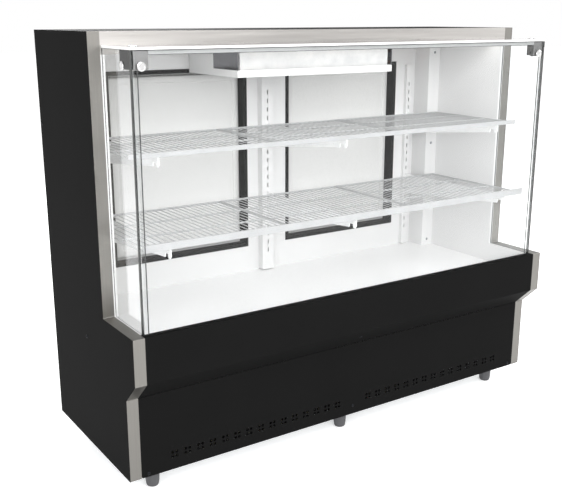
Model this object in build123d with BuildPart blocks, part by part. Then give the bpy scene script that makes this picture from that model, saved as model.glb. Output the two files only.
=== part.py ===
"""Refrigerated display case with a straight glass front, in millimetres.

+Z is up, the shop side (the glass) faces -Y and the operator's side faces +Y.
The origin is on the floor, at the middle of the bounding box.
"""

import os
from build123d import *

os.makedirs("parts", exist_ok=True)

# Overall body
case_width = 1500
case_height = 1230
body_depth = 586  # nose face to rear skin
foot_height = 67
skin = 1.5  # all sheet metal of the body
contact_gap = 0.3  # between faces that only come close

# Rear doors, which lie on the rear skin
frame_flange = 2
gasket_thickness = 6
door_thickness = 28
handle_lip_height = 2
door_stack = frame_flange + gasket_thickness + door_thickness + handle_lip_height

# Front profile, measured back from the nose face and up from the floor
toe_setback = 61
fascia_setback = 191
slope_bottom_z = 302
nose_bottom_z = 361
ledge_z = 489
fascia_height = 56
trim_width = 34
bend_radius = 3

# Walls
wall_thickness = 49  # outer skin to liner face, at the sides
rear_wall_thickness = 28
roof_thickness = 44
deck_z = 424
bay_top_z = 385  # underside of the insulation

# Glass
glass = 6
glass_setback = 18
glass_inset = 37  # outer face of a side glass, in from the case's side
glass_drop = 34  # below the top of the case
channel_wall = 2.7
channel_depth = 16
channel_floor = 3

# Rear door openings
opening_side_gap = 155.5  # from the liner's side
opening_middle_gap = 177
opening_top_gap = 89.5  # from the ceiling
opening_bottom_z = 523.5
frame_web = 3
inner_flange_width = 12.5
outer_flange_width = 14
door_overlap_side = 27.5
door_overlap_end = 20
liner_plug_depth = 14
liner_plug_gap = 6
liner_plug_chamfer = 7
gasket_width = 11
gasket_inset = 1.5

# Values worked out from the ones above
half_width = case_width / 2
front_y = -(body_depth + door_stack) / 2
rear_y = front_y + body_depth
door_inner_y = rear_y + frame_flange + gasket_thickness
door_outer_y = door_inner_y + door_thickness
toe_y = front_y + toe_setback
fascia_y = front_y + fascia_setback
wall_y = rear_y - rear_wall_thickness
fascia_bottom_z = case_height - fascia_height
ceiling_z = case_height - roof_thickness
trim_inner_x = half_width - trim_width
liner_x = half_width - wall_thickness
glass_top_z = case_height - glass_drop
glass_y = front_y + glass_setback
glass_x = half_width - glass_inset
channel_front_y = glass_y - channel_wall - contact_gap
channel_back_y = glass_y + glass + channel_wall + contact_gap
opening_top_z = ceiling_z - opening_top_gap
opening_height = opening_top_z - opening_bottom_z
opening_centre_z = opening_bottom_z + opening_height / 2
opening_width = liner_x - opening_side_gap - opening_middle_gap / 2
opening_centre_x = (opening_middle_gap + opening_width) / 2
deck_front_y = channel_back_y + skin


def panel(x_range, y_range, z_range, mode=Mode.ADD):
    """A rectangular block between six planes, in the part that is being built."""
    with BuildSketch(Plane.XY.offset(z_range[0])) as footprint:
        with Locations((sum(x_range) / 2, sum(y_range) / 2)):
            Rectangle(x_range[1] - x_range[0], y_range[1] - y_range[0])
    extrude(footprint.sketch, amount=z_range[1] - z_range[0], mode=mode)


def rod(centre, direction, radius, length, mode=Mode.ADD):
    """A round bar that starts at centre and runs along direction."""
    with BuildSketch(Plane(origin=centre, z_dir=direction)) as section:
        Circle(radius)
    extrude(section.sketch, amount=length, mode=mode)


def wall_ring(y_range, width, height, bar, centre_x, mode=Mode.ADD):
    """A rectangular ring round a door opening, with an outer size and a bar width."""
    with BuildSketch(Plane.XZ.offset(-y_range[0])) as ring:
        with Locations((centre_x, opening_centre_z)):
            Rectangle(width, height)
            Rectangle(width - 2 * bar, height - 2 * bar, mode=Mode.SUBTRACT)
    extrude(ring.sketch, amount=y_range[0] - y_range[1], mode=mode)


def save(part, name):
    part.label = name
    export_step(part, f"parts/{name}.step")


# Screws: one size for the panels, one place list for each panel
screw_radius = 2.2
screw_head_radius = 5
screw_head_height = 2.4
screw_length = 9
screw_clearance = 0.2
screw_head_taper_deg = 20
vent_screw_inset = 21
vent_screw_rise = 10
vent_centre_screw_rise = 27.6
slope_screw_share = 0.5  # how far up the notch slope its screw is
rear_screw_inset = 13
rear_screw_drop = 261
middle_screw_inset = 269
middle_screw_z = 401
side_screws = ((rear_y - rear_screw_inset, case_height - rear_screw_drop),
               (rear_y - middle_screw_inset, middle_screw_z))
duct_top_screw_drop = 45
duct_middle_screw_rise = 9  # above the middle of the duct
duct_bottom_screw_rise = 22
duct_screw_heights = (ceiling_z - duct_top_screw_drop,
                      (ceiling_z + deck_z) / 2 + duct_middle_screw_rise,
                      deck_z + duct_bottom_screw_rise)
vent_panel_screw_x = trim_inner_x - vent_screw_inset
vent_panel_screw_z = foot_height + vent_screw_rise
vent_centre_screw_z = foot_height + vent_centre_screw_rise


# Side panels
for name, side in (("side_panel_left", -1), ("side_panel_right", 1)):
    with BuildPart() as side_panel:
        with BuildSketch(Plane.YZ.offset(side * half_width)):
            with BuildLine():
                Polyline(
                    (rear_y, foot_height),
                    (toe_y, foot_height),
                    (toe_y, slope_bottom_z),
                    (front_y, nose_bottom_z),
                    (front_y, ledge_z),
                    (fascia_y, ledge_z),
                    (fascia_y, case_height),
                    (rear_y, case_height),
                    close=True,
                )
            make_face()
        extrude(amount=-side * skin)
        for y, z in side_screws:
            rod((side * half_width, y, z), (-side, 0, 0), screw_radius + screw_clearance, skin,
                mode=Mode.SUBTRACT)
    save(side_panel.part, name)

# Stainless trims, folded along the front edge of each side panel
trim_width_inside = trim_width - skin
for name, side in (("edge_trim_left", -1), ("edge_trim_right", 1)):
    with BuildPart() as edge_trim:
        with BuildSketch(Plane.YZ.offset(side * trim_inner_x)):
            with BuildLine():
                FilletPolyline(
                    (toe_y, foot_height),
                    (toe_y, slope_bottom_z),
                    (front_y, nose_bottom_z),
                    (front_y, ledge_z),
                    (fascia_y, ledge_z),
                    (fascia_y, case_height),
                    radius=bend_radius,
                )
                offset(amount=skin, side=Side.RIGHT)
            make_face()
        extrude(amount=side * trim_width_inside)
    save(edge_trim.part, name)

# Top cover and fascia
fascia_return = 14
with BuildPart() as top_cover:
    panel((-half_width + skin, half_width - skin), (fascia_y + skin, rear_y),
          (case_height - skin, case_height))
save(top_cover.part, "top_cover")

with BuildPart() as top_fascia:
    panel((-trim_inner_x, trim_inner_x), (fascia_y, fascia_y + skin),
          (fascia_bottom_z, case_height))
    panel((-liner_x + contact_gap, liner_x - contact_gap),
          (fascia_y + skin, fascia_y + fascia_return),
          (fascia_bottom_z, fascia_bottom_z + skin))
save(top_fascia.part, "top_fascia")

# Nose panel: top lip, face and notch slope in one bent sheet
with BuildPart() as nose_panel:
    with BuildSketch(Plane.YZ.offset(-trim_inner_x)):
        with BuildLine():
            FilletPolyline(
                (toe_y, slope_bottom_z),
                (front_y, nose_bottom_z),
                (front_y, ledge_z),
                (channel_front_y, ledge_z),
                radius=bend_radius,
            )
            offset(amount=skin, side=Side.RIGHT)
        make_face()
    extrude(amount=2 * trim_inner_x)
    slope_direction = Vector(0, front_y - toe_y, nose_bottom_z - slope_bottom_z)
    slope_screw = Vector(0, toe_y, slope_bottom_z) + slope_direction * slope_screw_share
    slope_inward = Vector(0, slope_direction.Z, -slope_direction.Y).normalized()
    rod(slope_screw - slope_inward * screw_length, slope_inward,
        screw_radius + screw_clearance, 2 * screw_length, mode=Mode.SUBTRACT)
save(nose_panel.part, "nose_panel")

# Vent panel, with groups of four holes
vent_hole_radius = 4.5
vent_hole_pitch = 12.5
vent_group_pitch = 39.7
vent_first_x = 60
vent_end_inset = 95
vent_centre_z = 112
vent_panel_return = 16
panel_corner_radius = 6
vent_panel_gap = 1
vent_panel_top_z = slope_bottom_z - vent_panel_gap
vent_reach = trim_inner_x - vent_end_inset - vent_first_x
vent_groups_per_side = 1 + int(vent_reach / vent_group_pitch)
with BuildPart() as vent_panel:
    with BuildSketch(Plane.XZ.offset(-toe_y)):
        with Locations((0, (foot_height + vent_panel_top_z) / 2)):
            Rectangle(2 * trim_inner_x, vent_panel_top_z - foot_height)
    extrude(amount=-skin)
    for side in (-1, 1):
        outer = side * trim_inner_x
        inner = outer - side * skin
        panel((min(outer, inner), max(outer, inner)), (toe_y + skin, toe_y + vent_panel_return),
              (foot_height + panel_corner_radius, vent_panel_top_z))
    fillet(vent_panel.edges().filter_by(Axis.Y).group_by(Axis.Z)[0].group_by(Axis.X)[0],
           radius=panel_corner_radius)
    fillet(vent_panel.edges().filter_by(Axis.Y).group_by(Axis.Z)[0].group_by(Axis.X)[-1],
           radius=panel_corner_radius)
    vent_row = (vent_groups_per_side - 1) * vent_group_pitch / 2 + vent_first_x
    with BuildSketch(Plane.XZ.offset(-toe_y)):
        with Locations((-vent_row, vent_centre_z), (vent_row, vent_centre_z)):
            with GridLocations(vent_group_pitch, 0, vent_groups_per_side, 1):
                with GridLocations(vent_hole_pitch, vent_hole_pitch, 2, 2):
                    Circle(vent_hole_radius)
        with Locations((-vent_panel_screw_x, vent_panel_screw_z), (0, vent_centre_screw_z),
                       (vent_panel_screw_x, vent_panel_screw_z)):
            Circle(screw_radius + screw_clearance)
    extrude(amount=-skin, mode=Mode.SUBTRACT)
save(vent_panel.part, "vent_panel")

# Rear skin, open at the doors, the control panel, the inlet and the machine bay
grille_inset = 230  # from the case's sides
grille_height = 230
grille_bottom_z = 106
grille_overlap = 14
control_width = 170
control_height = 64
control_depth = 22
control_centre_z = 446
control_lip = 8
inlet_width = 30
inlet_height = 24
inlet_inset = 138
inlet_centre_z = 130
grille_width = case_width - 2 * grille_inset
inlet_centre = (half_width - inlet_inset, inlet_centre_z)
with BuildPart() as rear_panel:
    panel((-half_width + skin, half_width - skin), (rear_y - skin, rear_y),
          (foot_height, case_height - skin))
    for centre_x in (-opening_centre_x, opening_centre_x):
        panel((centre_x - opening_width / 2 - frame_web, centre_x + opening_width / 2 + frame_web),
              (rear_y - skin, rear_y),
              (opening_bottom_z - frame_web, opening_top_z + frame_web), mode=Mode.SUBTRACT)
    with BuildSketch(Plane.XZ.offset(-rear_y)):
        with Locations((0, grille_bottom_z + grille_height / 2)):
            Rectangle(grille_width, grille_height)
        with Locations((0, control_centre_z)):
            Rectangle(control_width, control_height)
        with Locations(inlet_centre):
            Rectangle(inlet_width, inlet_height)
    extrude(amount=skin, mode=Mode.SUBTRACT)
save(rear_panel.part, "rear_panel")

louvre_length = 100
louvre_height = 6
louvre_pitch_x = 125
louvre_pitch_z = 20
louvre_rows = 10
louvre_columns = int(grille_width / louvre_pitch_x)
grille_screw_x = grille_width / 2 + grille_overlap / 2
with BuildPart() as rear_grille:
    with BuildSketch(Plane.XZ.offset(-rear_y)):
        with Locations((0, grille_bottom_z + grille_height / 2)):
            Rectangle(grille_width + 2 * grille_overlap, grille_height + 2 * grille_overlap)
            with GridLocations(louvre_pitch_x, louvre_pitch_z, louvre_columns, louvre_rows):
                SlotOverall(louvre_length, louvre_height, mode=Mode.SUBTRACT)
            with GridLocations(2 * grille_screw_x, grille_height, 2, 2):
                Circle(screw_radius + screw_clearance, mode=Mode.SUBTRACT)
    extrude(amount=-skin)
save(rear_grille.part, "rear_grille")

# Glass, its channel in the nose and the corner connectors
glass_bottom_z = ledge_z - channel_depth + channel_floor
disc_radius = 11.5
disc_height = 3
stem_radius = 4
stem_clearance = 0.5
bracket_plate = 3
bracket_width = 41
bracket_drop = 46
side_plate_reach = 61
top_plate_reach = 47
disc_drop = 38
front_disc_inset = 27
side_disc_setback = 50
top_disc_inset = 23
top_disc_setback = 36
top_glass_bottom_z = glass_top_z - glass
front_disc = (glass_x - front_disc_inset, top_glass_bottom_z - disc_drop)
side_disc = (glass_y + side_disc_setback, top_glass_bottom_z - disc_drop)
top_disc = (glass_x - top_disc_inset, glass_y + top_disc_setback)

with BuildPart() as glass_channel:
    panel((-trim_inner_x, trim_inner_x), (channel_front_y, channel_back_y),
          (ledge_z - channel_depth, ledge_z))
    panel((-trim_inner_x, trim_inner_x),
          (glass_y - contact_gap, glass_y + glass + contact_gap),
          (glass_bottom_z, ledge_z), mode=Mode.SUBTRACT)
save(glass_channel.part, "glass_channel")

with BuildPart() as front_glass:
    panel((-glass_x, glass_x), (glass_y, glass_y + glass), (glass_bottom_z, top_glass_bottom_z))
    for side in (-1, 1):
        rod((side * front_disc[0], glass_y, front_disc[1]), (0, 1, 0),
            stem_radius + stem_clearance, glass, mode=Mode.SUBTRACT)
save(front_glass.part, "front_glass")

with BuildPart() as top_glass:
    panel((-glass_x, glass_x), (glass_y, fascia_y), (top_glass_bottom_z, glass_top_z))
    for side in (-1, 1):
        rod((side * top_disc[0], top_disc[1], top_glass_bottom_z), (0, 0, 1),
            stem_radius + stem_clearance, glass, mode=Mode.SUBTRACT)
save(top_glass.part, "top_glass")

for name, side in (("side_glass_left", -1), ("side_glass_right", 1)):
    with BuildPart() as side_glass:
        faces_x = sorted((side * glass_x, side * (glass_x - glass)))
        panel(faces_x, (glass_y + glass, fascia_y), (ledge_z, top_glass_bottom_z))
        rod((side * glass_x, *side_disc), (-side, 0, 0), stem_radius + stem_clearance, glass,
            mode=Mode.SUBTRACT)
    save(side_glass.part, name)

with BuildPart() as glass_corners:
    for side in (-1, 1):
        inner_x = glass_x - glass
        inner_y = glass_y + glass
        across = sorted((side * inner_x, side * (inner_x - bracket_width)))
        side_plate_x = sorted((side * inner_x, side * (inner_x - bracket_plate)))
        panel(across, (inner_y, inner_y + bracket_plate),
              (top_glass_bottom_z - bracket_drop, top_glass_bottom_z))
        panel(side_plate_x, (inner_y, inner_y + side_plate_reach),
              (top_glass_bottom_z - bracket_drop, top_glass_bottom_z))
        panel(across, (inner_y, inner_y + top_plate_reach),
              (top_glass_bottom_z - bracket_plate, top_glass_bottom_z))
        stem = glass + bracket_plate
        rod((side * front_disc[0], glass_y - disc_height, front_disc[1]), (0, 1, 0),
            disc_radius, disc_height)
        rod((side * front_disc[0], glass_y, front_disc[1]), (0, 1, 0), stem_radius, stem)
        rod((side * (glass_x + disc_height), *side_disc), (-side, 0, 0), disc_radius, disc_height)
        rod((side * glass_x, *side_disc), (-side, 0, 0), stem_radius, stem)
        rod((side * top_disc[0], top_disc[1], glass_top_z), (0, 0, 1), disc_radius, disc_height)
        rod((side * top_disc[0], top_disc[1], glass_top_z), (0, 0, -1), stem_radius, stem)
save(glass_corners.part, "glass_corners")

# Side liners: inner face, front flange beside the trim and ledge flange under the side glass
liner_below_deck = 2
liner_bottom_z = deck_z - skin - liner_below_deck
for name, side in (("side_liner_left", -1), ("side_liner_right", 1)):
    with BuildPart() as side_liner:
        with BuildSketch(Plane.YZ.offset(side * liner_x)):
            with BuildLine():
                Polyline(
                    (wall_y, liner_bottom_z),
                    (channel_back_y, liner_bottom_z),
                    (channel_back_y, ledge_z),
                    (fascia_y + skin, ledge_z),
                    (fascia_y + skin, ceiling_z),
                    (wall_y, ceiling_z),
                    close=True,
                )
            make_face()
        extrude(amount=side * skin)
        flange_x = sorted((side * liner_x, side * trim_inner_x))
        panel(flange_x, (fascia_y, fascia_y + skin), (ledge_z, fascia_bottom_z))
        panel(flange_x, (channel_back_y, fascia_y + skin), (ledge_z - skin, ledge_z))
    save(side_liner.part, name)

# Rear wall and ceiling in one folded sheet
with BuildPart() as inner_liner:
    panel((-liner_x - skin, liner_x + skin), (wall_y, wall_y + skin),
          (liner_bottom_z, ceiling_z + skin))
    panel((-liner_x - skin, liner_x + skin), (fascia_y + skin, wall_y),
          (ceiling_z, ceiling_z + skin))
    for centre_x in (-opening_centre_x, opening_centre_x):
        panel((centre_x - opening_width / 2 - frame_web, centre_x + opening_width / 2 + frame_web),
              (wall_y, wall_y + skin),
              (opening_bottom_z - frame_web, opening_top_z + frame_web), mode=Mode.SUBTRACT)
save(inner_liner.part, "inner_liner")

# Pipes run from the evaporator along the ceiling, then down inside the corner duct
duct_width = 51
duct_depth = 75
pipe_x = liner_x - duct_width / 2
suction_radius = 5
liquid_radius = 3
suction_from_wall = 42
liquid_from_wall = 22
pipe_drop = 12
suction_y = wall_y - suction_from_wall
liquid_y = wall_y - liquid_from_wall
pipe_ceiling_z = ceiling_z - pipe_drop
pipe_hole_clearance = 2

with BuildPart() as deck_tray:
    panel((-liner_x + contact_gap, liner_x - contact_gap), (channel_back_y, wall_y - contact_gap),
          (deck_z - skin, deck_z))
    panel((-liner_x + contact_gap, liner_x - contact_gap), (channel_back_y, deck_front_y),
          (deck_z, ledge_z))
    for y, radius in ((suction_y, suction_radius), (liquid_y, liquid_radius)):
        rod((pipe_x, y, deck_z), (0, 0, -1), radius + pipe_hole_clearance, skin,
            mode=Mode.SUBTRACT)
save(deck_tray.part, "deck_tray")

with BuildPart() as corner_duct:
    duct_inner_x = liner_x - duct_width
    duct_front_y = wall_y - duct_depth
    panel((duct_inner_x, duct_inner_x + skin), (duct_front_y, wall_y), (deck_z, ceiling_z))
    panel((duct_inner_x, liner_x), (duct_front_y, duct_front_y + skin), (deck_z, ceiling_z))
    for y, radius in ((suction_y, suction_radius), (liquid_y, liquid_radius)):
        rod((duct_inner_x, y, pipe_ceiling_z), (1, 0, 0), radius + pipe_hole_clearance, skin,
            mode=Mode.SUBTRACT)
    for z in duct_screw_heights:
        rod((pipe_x, duct_front_y, z), (0, 1, 0), screw_radius + screw_clearance, skin,
            mode=Mode.SUBTRACT)
save(corner_duct.part, "corner_duct")

# Slotted uprights on the rear wall carry the shelf arms
upright_width = 24
upright_depth = 14
centre_upright_width = 44
centre_upright_depth = 27
upright_gap = 42  # beside a door frame's flange
centre_upright_x = -12
upright_wall = 2
slot_width = 4
slot_length = 14
slot_pitch = 28
slot_end_margin = 50
upright_deck_gap = 3
upright_ceiling_gap = 90
upright_bottom_z = deck_z + upright_deck_gap
upright_top_z = ceiling_z - upright_ceiling_gap
slotted_length = upright_top_z - upright_bottom_z - 2 * slot_end_margin
slots_per_upright = int(slotted_length / slot_pitch)
flange_end_x = opening_centre_x + opening_width / 2 + inner_flange_width
upright_x = flange_end_x + upright_gap + upright_width / 2
upright_places = ((-upright_x, upright_width, upright_depth),
                  (centre_upright_x, centre_upright_width, centre_upright_depth),
                  (upright_x, upright_width, upright_depth))
with BuildPart() as shelf_uprights:
    for x, width, depth in upright_places:
        panel((x - width / 2, x + width / 2), (wall_y - depth, wall_y),
              (upright_bottom_z, upright_top_z))
        panel((x - width / 2 + upright_wall, x + width / 2 - upright_wall),
              (wall_y - depth + upright_wall, wall_y), (upright_bottom_z, upright_top_z),
              mode=Mode.SUBTRACT)
        with BuildSketch(Plane.XZ.offset(-(wall_y - depth))) as slots:
            with Locations((x, (upright_bottom_z + upright_top_z) / 2)):
                with GridLocations(0, slot_pitch, 1, slots_per_upright):
                    Rectangle(slot_width, slot_length)
        extrude(slots.sketch, amount=-upright_wall, mode=Mode.SUBTRACT)
save(shelf_uprights.part, "shelf_uprights")

# Insulation, foamed between the skins and the liners
foam_side_x = (liner_x + skin, half_width - skin)
with BuildPart() as cabinet_foam:
    for side in (-1, 1):
        slab_x = sorted((side * foam_side_x[0], side * foam_side_x[1]))
        panel(slab_x, (channel_back_y, rear_y - skin), (bay_top_z, ledge_z - skin))
        panel(slab_x, (fascia_y + skin, rear_y - skin), (ledge_z - skin, case_height - skin))
        for y, z in side_screws:
            rod((side * (half_width - skin), y, z), (-side, 0, 0), screw_radius + screw_clearance,
                screw_length, mode=Mode.SUBTRACT)
    panel((-foam_side_x[0], foam_side_x[0]), (channel_back_y, rear_y - skin),
          (bay_top_z, liner_bottom_z))
    panel((-foam_side_x[0], foam_side_x[0]), (wall_y + skin, rear_y - skin),
          (liner_bottom_z, case_height - skin))
    panel((-foam_side_x[0], foam_side_x[0]), (fascia_y + skin, rear_y - skin),
          (ceiling_z + skin, case_height - skin))
    for centre_x in (-opening_centre_x, opening_centre_x):
        panel((centre_x - opening_width / 2 - frame_web, centre_x + opening_width / 2 + frame_web),
              (wall_y, rear_y), (opening_bottom_z - frame_web, opening_top_z + frame_web),
              mode=Mode.SUBTRACT)
    panel((-control_width / 2, control_width / 2), (wall_y + skin, rear_y),
          (control_centre_z - control_height / 2, control_centre_z + control_height / 2),
          mode=Mode.SUBTRACT)
    for y, radius in ((suction_y, suction_radius), (liquid_y, liquid_radius)):
        rod((pipe_x, y, deck_z), (0, 0, -1), radius + pipe_hole_clearance, deck_z - bay_top_z,
            mode=Mode.SUBTRACT)
save(cabinet_foam.part, "cabinet_foam")

# Black frames through the rear wall, one for each door
for name, centre_x in (("door_frame_left", -opening_centre_x),
                       ("door_frame_right", opening_centre_x)):
    with BuildPart() as door_frame:
        wall_ring((wall_y, rear_y), opening_width + 2 * frame_web, opening_height + 2 * frame_web,
                  frame_web, centre_x)
        wall_ring((wall_y - frame_flange, wall_y), opening_width + 2 * inner_flange_width,
                  opening_height + 2 * inner_flange_width, inner_flange_width, centre_x)
        wall_ring((rear_y, rear_y + frame_flange), opening_width + 2 * outer_flange_width,
                  opening_height + 2 * outer_flange_width, outer_flange_width, centre_x)
    save(door_frame.part, name)

# Rear doors: outer pan with a cut-out for the pull, liner with a plug, gasket and pull
door_width = opening_width + 2 * door_overlap_side
door_height = opening_height + 2 * door_overlap_end
liner_wall = 2.5
door_corner_radius = 4
pull_width = 34
pull_height = 130
pull_depth = 17
pull_lip = 7
pull_wall = 2.5
pull_edge = 16  # from the free edge of the door
pivot_radius = 4
pivot_clearance = 0.05
pivot_depth = 18
pivot_boss_radius = 9
pivot_from_edge = 13.5
pivot_y = door_inner_y + door_thickness / 2
for side, end in ((-1, "left"), (1, "right")):
    centre_x = side * opening_centre_x
    hinge_x = centre_x + side * (door_width / 2 - pivot_from_edge)
    pull_x = centre_x - side * (door_width / 2 - pull_edge - pull_lip - pull_width / 2)
    door_x = (centre_x - door_width / 2, centre_x + door_width / 2)
    door_z = (opening_centre_z - door_height / 2, opening_centre_z + door_height / 2)
    cup_x = (pull_x - pull_width / 2, pull_x + pull_width / 2)
    cup_y = (door_outer_y - pull_depth, door_outer_y)
    cup_z = (opening_centre_z - pull_height / 2, opening_centre_z + pull_height / 2)
    with BuildPart() as rear_door:
        panel(door_x, (door_inner_y, door_outer_y), door_z)
        fillet(rear_door.edges().filter_by(Axis.Y), radius=door_corner_radius)
        panel((door_x[0] + skin, door_x[1] - skin), (door_inner_y, door_outer_y - skin),
              (door_z[0] + skin, door_z[1] - skin), mode=Mode.SUBTRACT)
        panel(cup_x, cup_y, cup_z, mode=Mode.SUBTRACT)
        for z, up in ((door_z[0], 1), (door_z[1], -1)):
            rod((hinge_x, pivot_y, z + up * skin), (0, 0, up), pivot_boss_radius,
                pivot_depth - skin)
            rod((hinge_x, pivot_y, z), (0, 0, up), pivot_radius + pivot_clearance, pivot_depth,
                mode=Mode.SUBTRACT)
    save(rear_door.part, f"rear_door_{end}")

    with BuildPart() as door_liner:
        plug_x = (centre_x - opening_width / 2 + liner_plug_gap,
                  centre_x + opening_width / 2 - liner_plug_gap)
        plug_z = (opening_bottom_z + liner_plug_gap, opening_top_z - liner_plug_gap)
        panel(plug_x, (door_inner_y - liner_plug_depth, door_inner_y), plug_z)
        chamfer(door_liner.faces().sort_by(Axis.Y)[0].edges(), length=liner_plug_chamfer)
        panel((door_x[0] + skin + contact_gap, door_x[1] - skin - contact_gap),
              (door_inner_y, door_inner_y + liner_wall),
              (door_z[0] + skin + contact_gap, door_z[1] - skin - contact_gap))
        pocket = liner_wall + liner_plug_chamfer
        panel((plug_x[0] + pocket, plug_x[1] - pocket),
              (door_inner_y - liner_plug_depth + liner_wall, door_inner_y + liner_wall),
              (plug_z[0] + pocket, plug_z[1] - pocket), mode=Mode.SUBTRACT)
    save(door_liner.part, f"door_liner_{end}")

    with BuildPart() as door_gasket:
        wall_ring((rear_y + frame_flange, door_inner_y),
                  opening_width + 2 * (gasket_width + gasket_inset),
                  opening_height + 2 * (gasket_width + gasket_inset), gasket_width, centre_x)
    save(door_gasket.part, f"door_gasket_{end}")

    with BuildPart() as door_handle:
        panel((cup_x[0] - pull_lip, cup_x[1] + pull_lip),
              (door_outer_y, door_outer_y + handle_lip_height),
              (cup_z[0] - pull_lip, cup_z[1] + pull_lip))
        fillet(door_handle.edges().filter_by(Axis.Y), radius=pull_lip)
        panel(cup_x, cup_y, cup_z)
        panel((cup_x[0] + pull_wall, cup_x[1] - pull_wall),
              (cup_y[0] + pull_wall, cup_y[1] + handle_lip_height),
              (cup_z[0] + pull_wall, cup_z[1] - pull_wall), mode=Mode.SUBTRACT)
    save(door_handle.part, f"door_handle_{end}")

# Hinge brackets above and below each door, with their pins
bracket_length = 46
bracket_height = 30
bracket_gap = 1.5
bracket_thick = 4
bracket_screw_pitch = 26
lug_width = 30
pin_reach = 12
with BuildPart() as hinge_brackets:
    for side in (-1, 1):
        hinge_x = side * (opening_centre_x + door_width / 2 - pivot_from_edge)
        for up in (-1, 1):
            shelf_z = opening_centre_z + up * (door_height / 2 + bracket_gap)
            leaf_z = sorted((shelf_z, shelf_z + up * bracket_height))
            lug_z = sorted((shelf_z, shelf_z + up * bracket_thick))
            leaf_x = (hinge_x - bracket_length / 2, hinge_x + bracket_length / 2)
            lug_end = pivot_y + pivot_radius + bracket_thick
            panel(leaf_x, (rear_y, rear_y + bracket_thick), leaf_z)
            panel((hinge_x - lug_width / 2, hinge_x + lug_width / 2), (rear_y, lug_end), lug_z)
            rod((hinge_x, pivot_y, shelf_z + up * bracket_thick), (0, 0, -up), pivot_radius,
                bracket_thick + bracket_gap + pin_reach)
            for x in (hinge_x - bracket_screw_pitch / 2, hinge_x + bracket_screw_pitch / 2):
                rod((x, rear_y, shelf_z + up * bracket_height / 2), (0, 1, 0),
                    screw_radius + screw_clearance, bracket_thick, mode=Mode.SUBTRACT)
save(hinge_brackets.part, "hinge_brackets")

# Evaporator under the ceiling: tray and plenum, fin coil, end plates, fan and motor
evaporator_half_width = 283
evaporator_depth = 297
evaporator_drop = 88
evaporator_lip = 20
coil_depth = 139
coil_gap = 4  # above the tray and below the ceiling
coil_margin = 3
coil_fin = 0.8
coil_fin_pitch = 6
coil_fins = 90
coil_tube_radius = 4.5
coil_tube_pitch = 34
coil_tube_columns = 4
coil_tube_rows = 2
fan_hole_radius = 68
fan_ring_width = 5
fan_ring_gap = 13
fan_rings = 3
fan_hub_radius = 20
fan_hub_height = 16
fan_tip_gap = 4
fan_blades = 5
blade_thickness = 2
blade_pitch_deg = 24
blade_root_sink = 6
blade_tip_share = 0.36
blade_leading_share = 0.8
blade_trailing_share = 0.9
shaft_radius = 3
shaft_clearance = 0.05
shaft_end_gap = 2
motor_radius = 26
motor_height = 30
motor_boss_radius = 13
motor_gap = 6
fan_guard_gap = 8
cover_bottom_z = ceiling_z - evaporator_drop
cover_front_y = wall_y - evaporator_depth
coil_back_y = cover_front_y + skin + coil_depth
cover_back_y = wall_y - frame_flange - contact_gap
plenum_y = (coil_back_y + cover_back_y) / 2
fan_bottom_z = cover_bottom_z + skin + fan_guard_gap

with BuildPart() as evaporator_cover:
    panel((-evaporator_half_width, evaporator_half_width), (cover_front_y, cover_back_y),
          (cover_bottom_z, cover_bottom_z + skin))
    panel((-evaporator_half_width, evaporator_half_width), (cover_front_y, cover_front_y + skin),
          (cover_bottom_z, cover_bottom_z + evaporator_lip))
    for side in (-1, 1):
        wall_x = sorted((side * evaporator_half_width, side * (evaporator_half_width - skin)))
        panel(wall_x, (cover_front_y, cover_back_y),
              (cover_bottom_z, cover_bottom_z + evaporator_lip))
        panel(wall_x, (coil_back_y, cover_back_y), (cover_bottom_z, ceiling_z))
    with BuildSketch(Plane.XY.offset(cover_bottom_z)) as guard:
        with Locations((0, plenum_y)):
            Circle(fan_hole_radius)
            for ring in range(1, fan_rings + 1):
                outer_radius = ring * (fan_ring_width + fan_ring_gap)
                with BuildSketch(mode=Mode.SUBTRACT):
                    Circle(outer_radius)
                    Circle(outer_radius - fan_ring_width, mode=Mode.SUBTRACT)
            Rectangle(2 * fan_hole_radius, fan_ring_width, mode=Mode.SUBTRACT)
            Rectangle(fan_ring_width, 2 * fan_hole_radius, mode=Mode.SUBTRACT)
    extrude(guard.sketch, amount=skin, mode=Mode.SUBTRACT)
save(evaporator_cover.part, "evaporator_cover")

with BuildPart() as evaporator_coil:
    coil_bottom_z = cover_bottom_z + skin + coil_gap
    coil_top_z = ceiling_z - coil_gap
    coil_centre_y = (cover_front_y + skin + coil_back_y) / 2
    with BuildSketch(Plane.XY.offset(coil_bottom_z)):
        with Locations((0, coil_centre_y)):
            with GridLocations(coil_fin_pitch, 0, coil_fins, 1):
                Rectangle(coil_fin, coil_depth - 2 * coil_margin)
    extrude(amount=coil_top_z - coil_bottom_z)
    with BuildSketch(Plane.YZ.offset(-evaporator_half_width + skin)):
        with Locations((coil_centre_y, (coil_bottom_z + coil_top_z) / 2)):
            with GridLocations(coil_tube_pitch, coil_tube_pitch,
                               coil_tube_columns, coil_tube_rows):
                Circle(coil_tube_radius)
    extrude(amount=2 * (evaporator_half_width - skin))
save(evaporator_coil.part, "evaporator_coil")

with BuildPart() as evaporator_end_plates:
    for side in (-1, 1):
        plate_x = sorted((side * evaporator_half_width, side * (evaporator_half_width - skin)))
        panel(plate_x, (cover_front_y, coil_back_y),
              (cover_bottom_z + evaporator_lip, ceiling_z))
save(evaporator_end_plates.part, "evaporator_end_plates")


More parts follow.
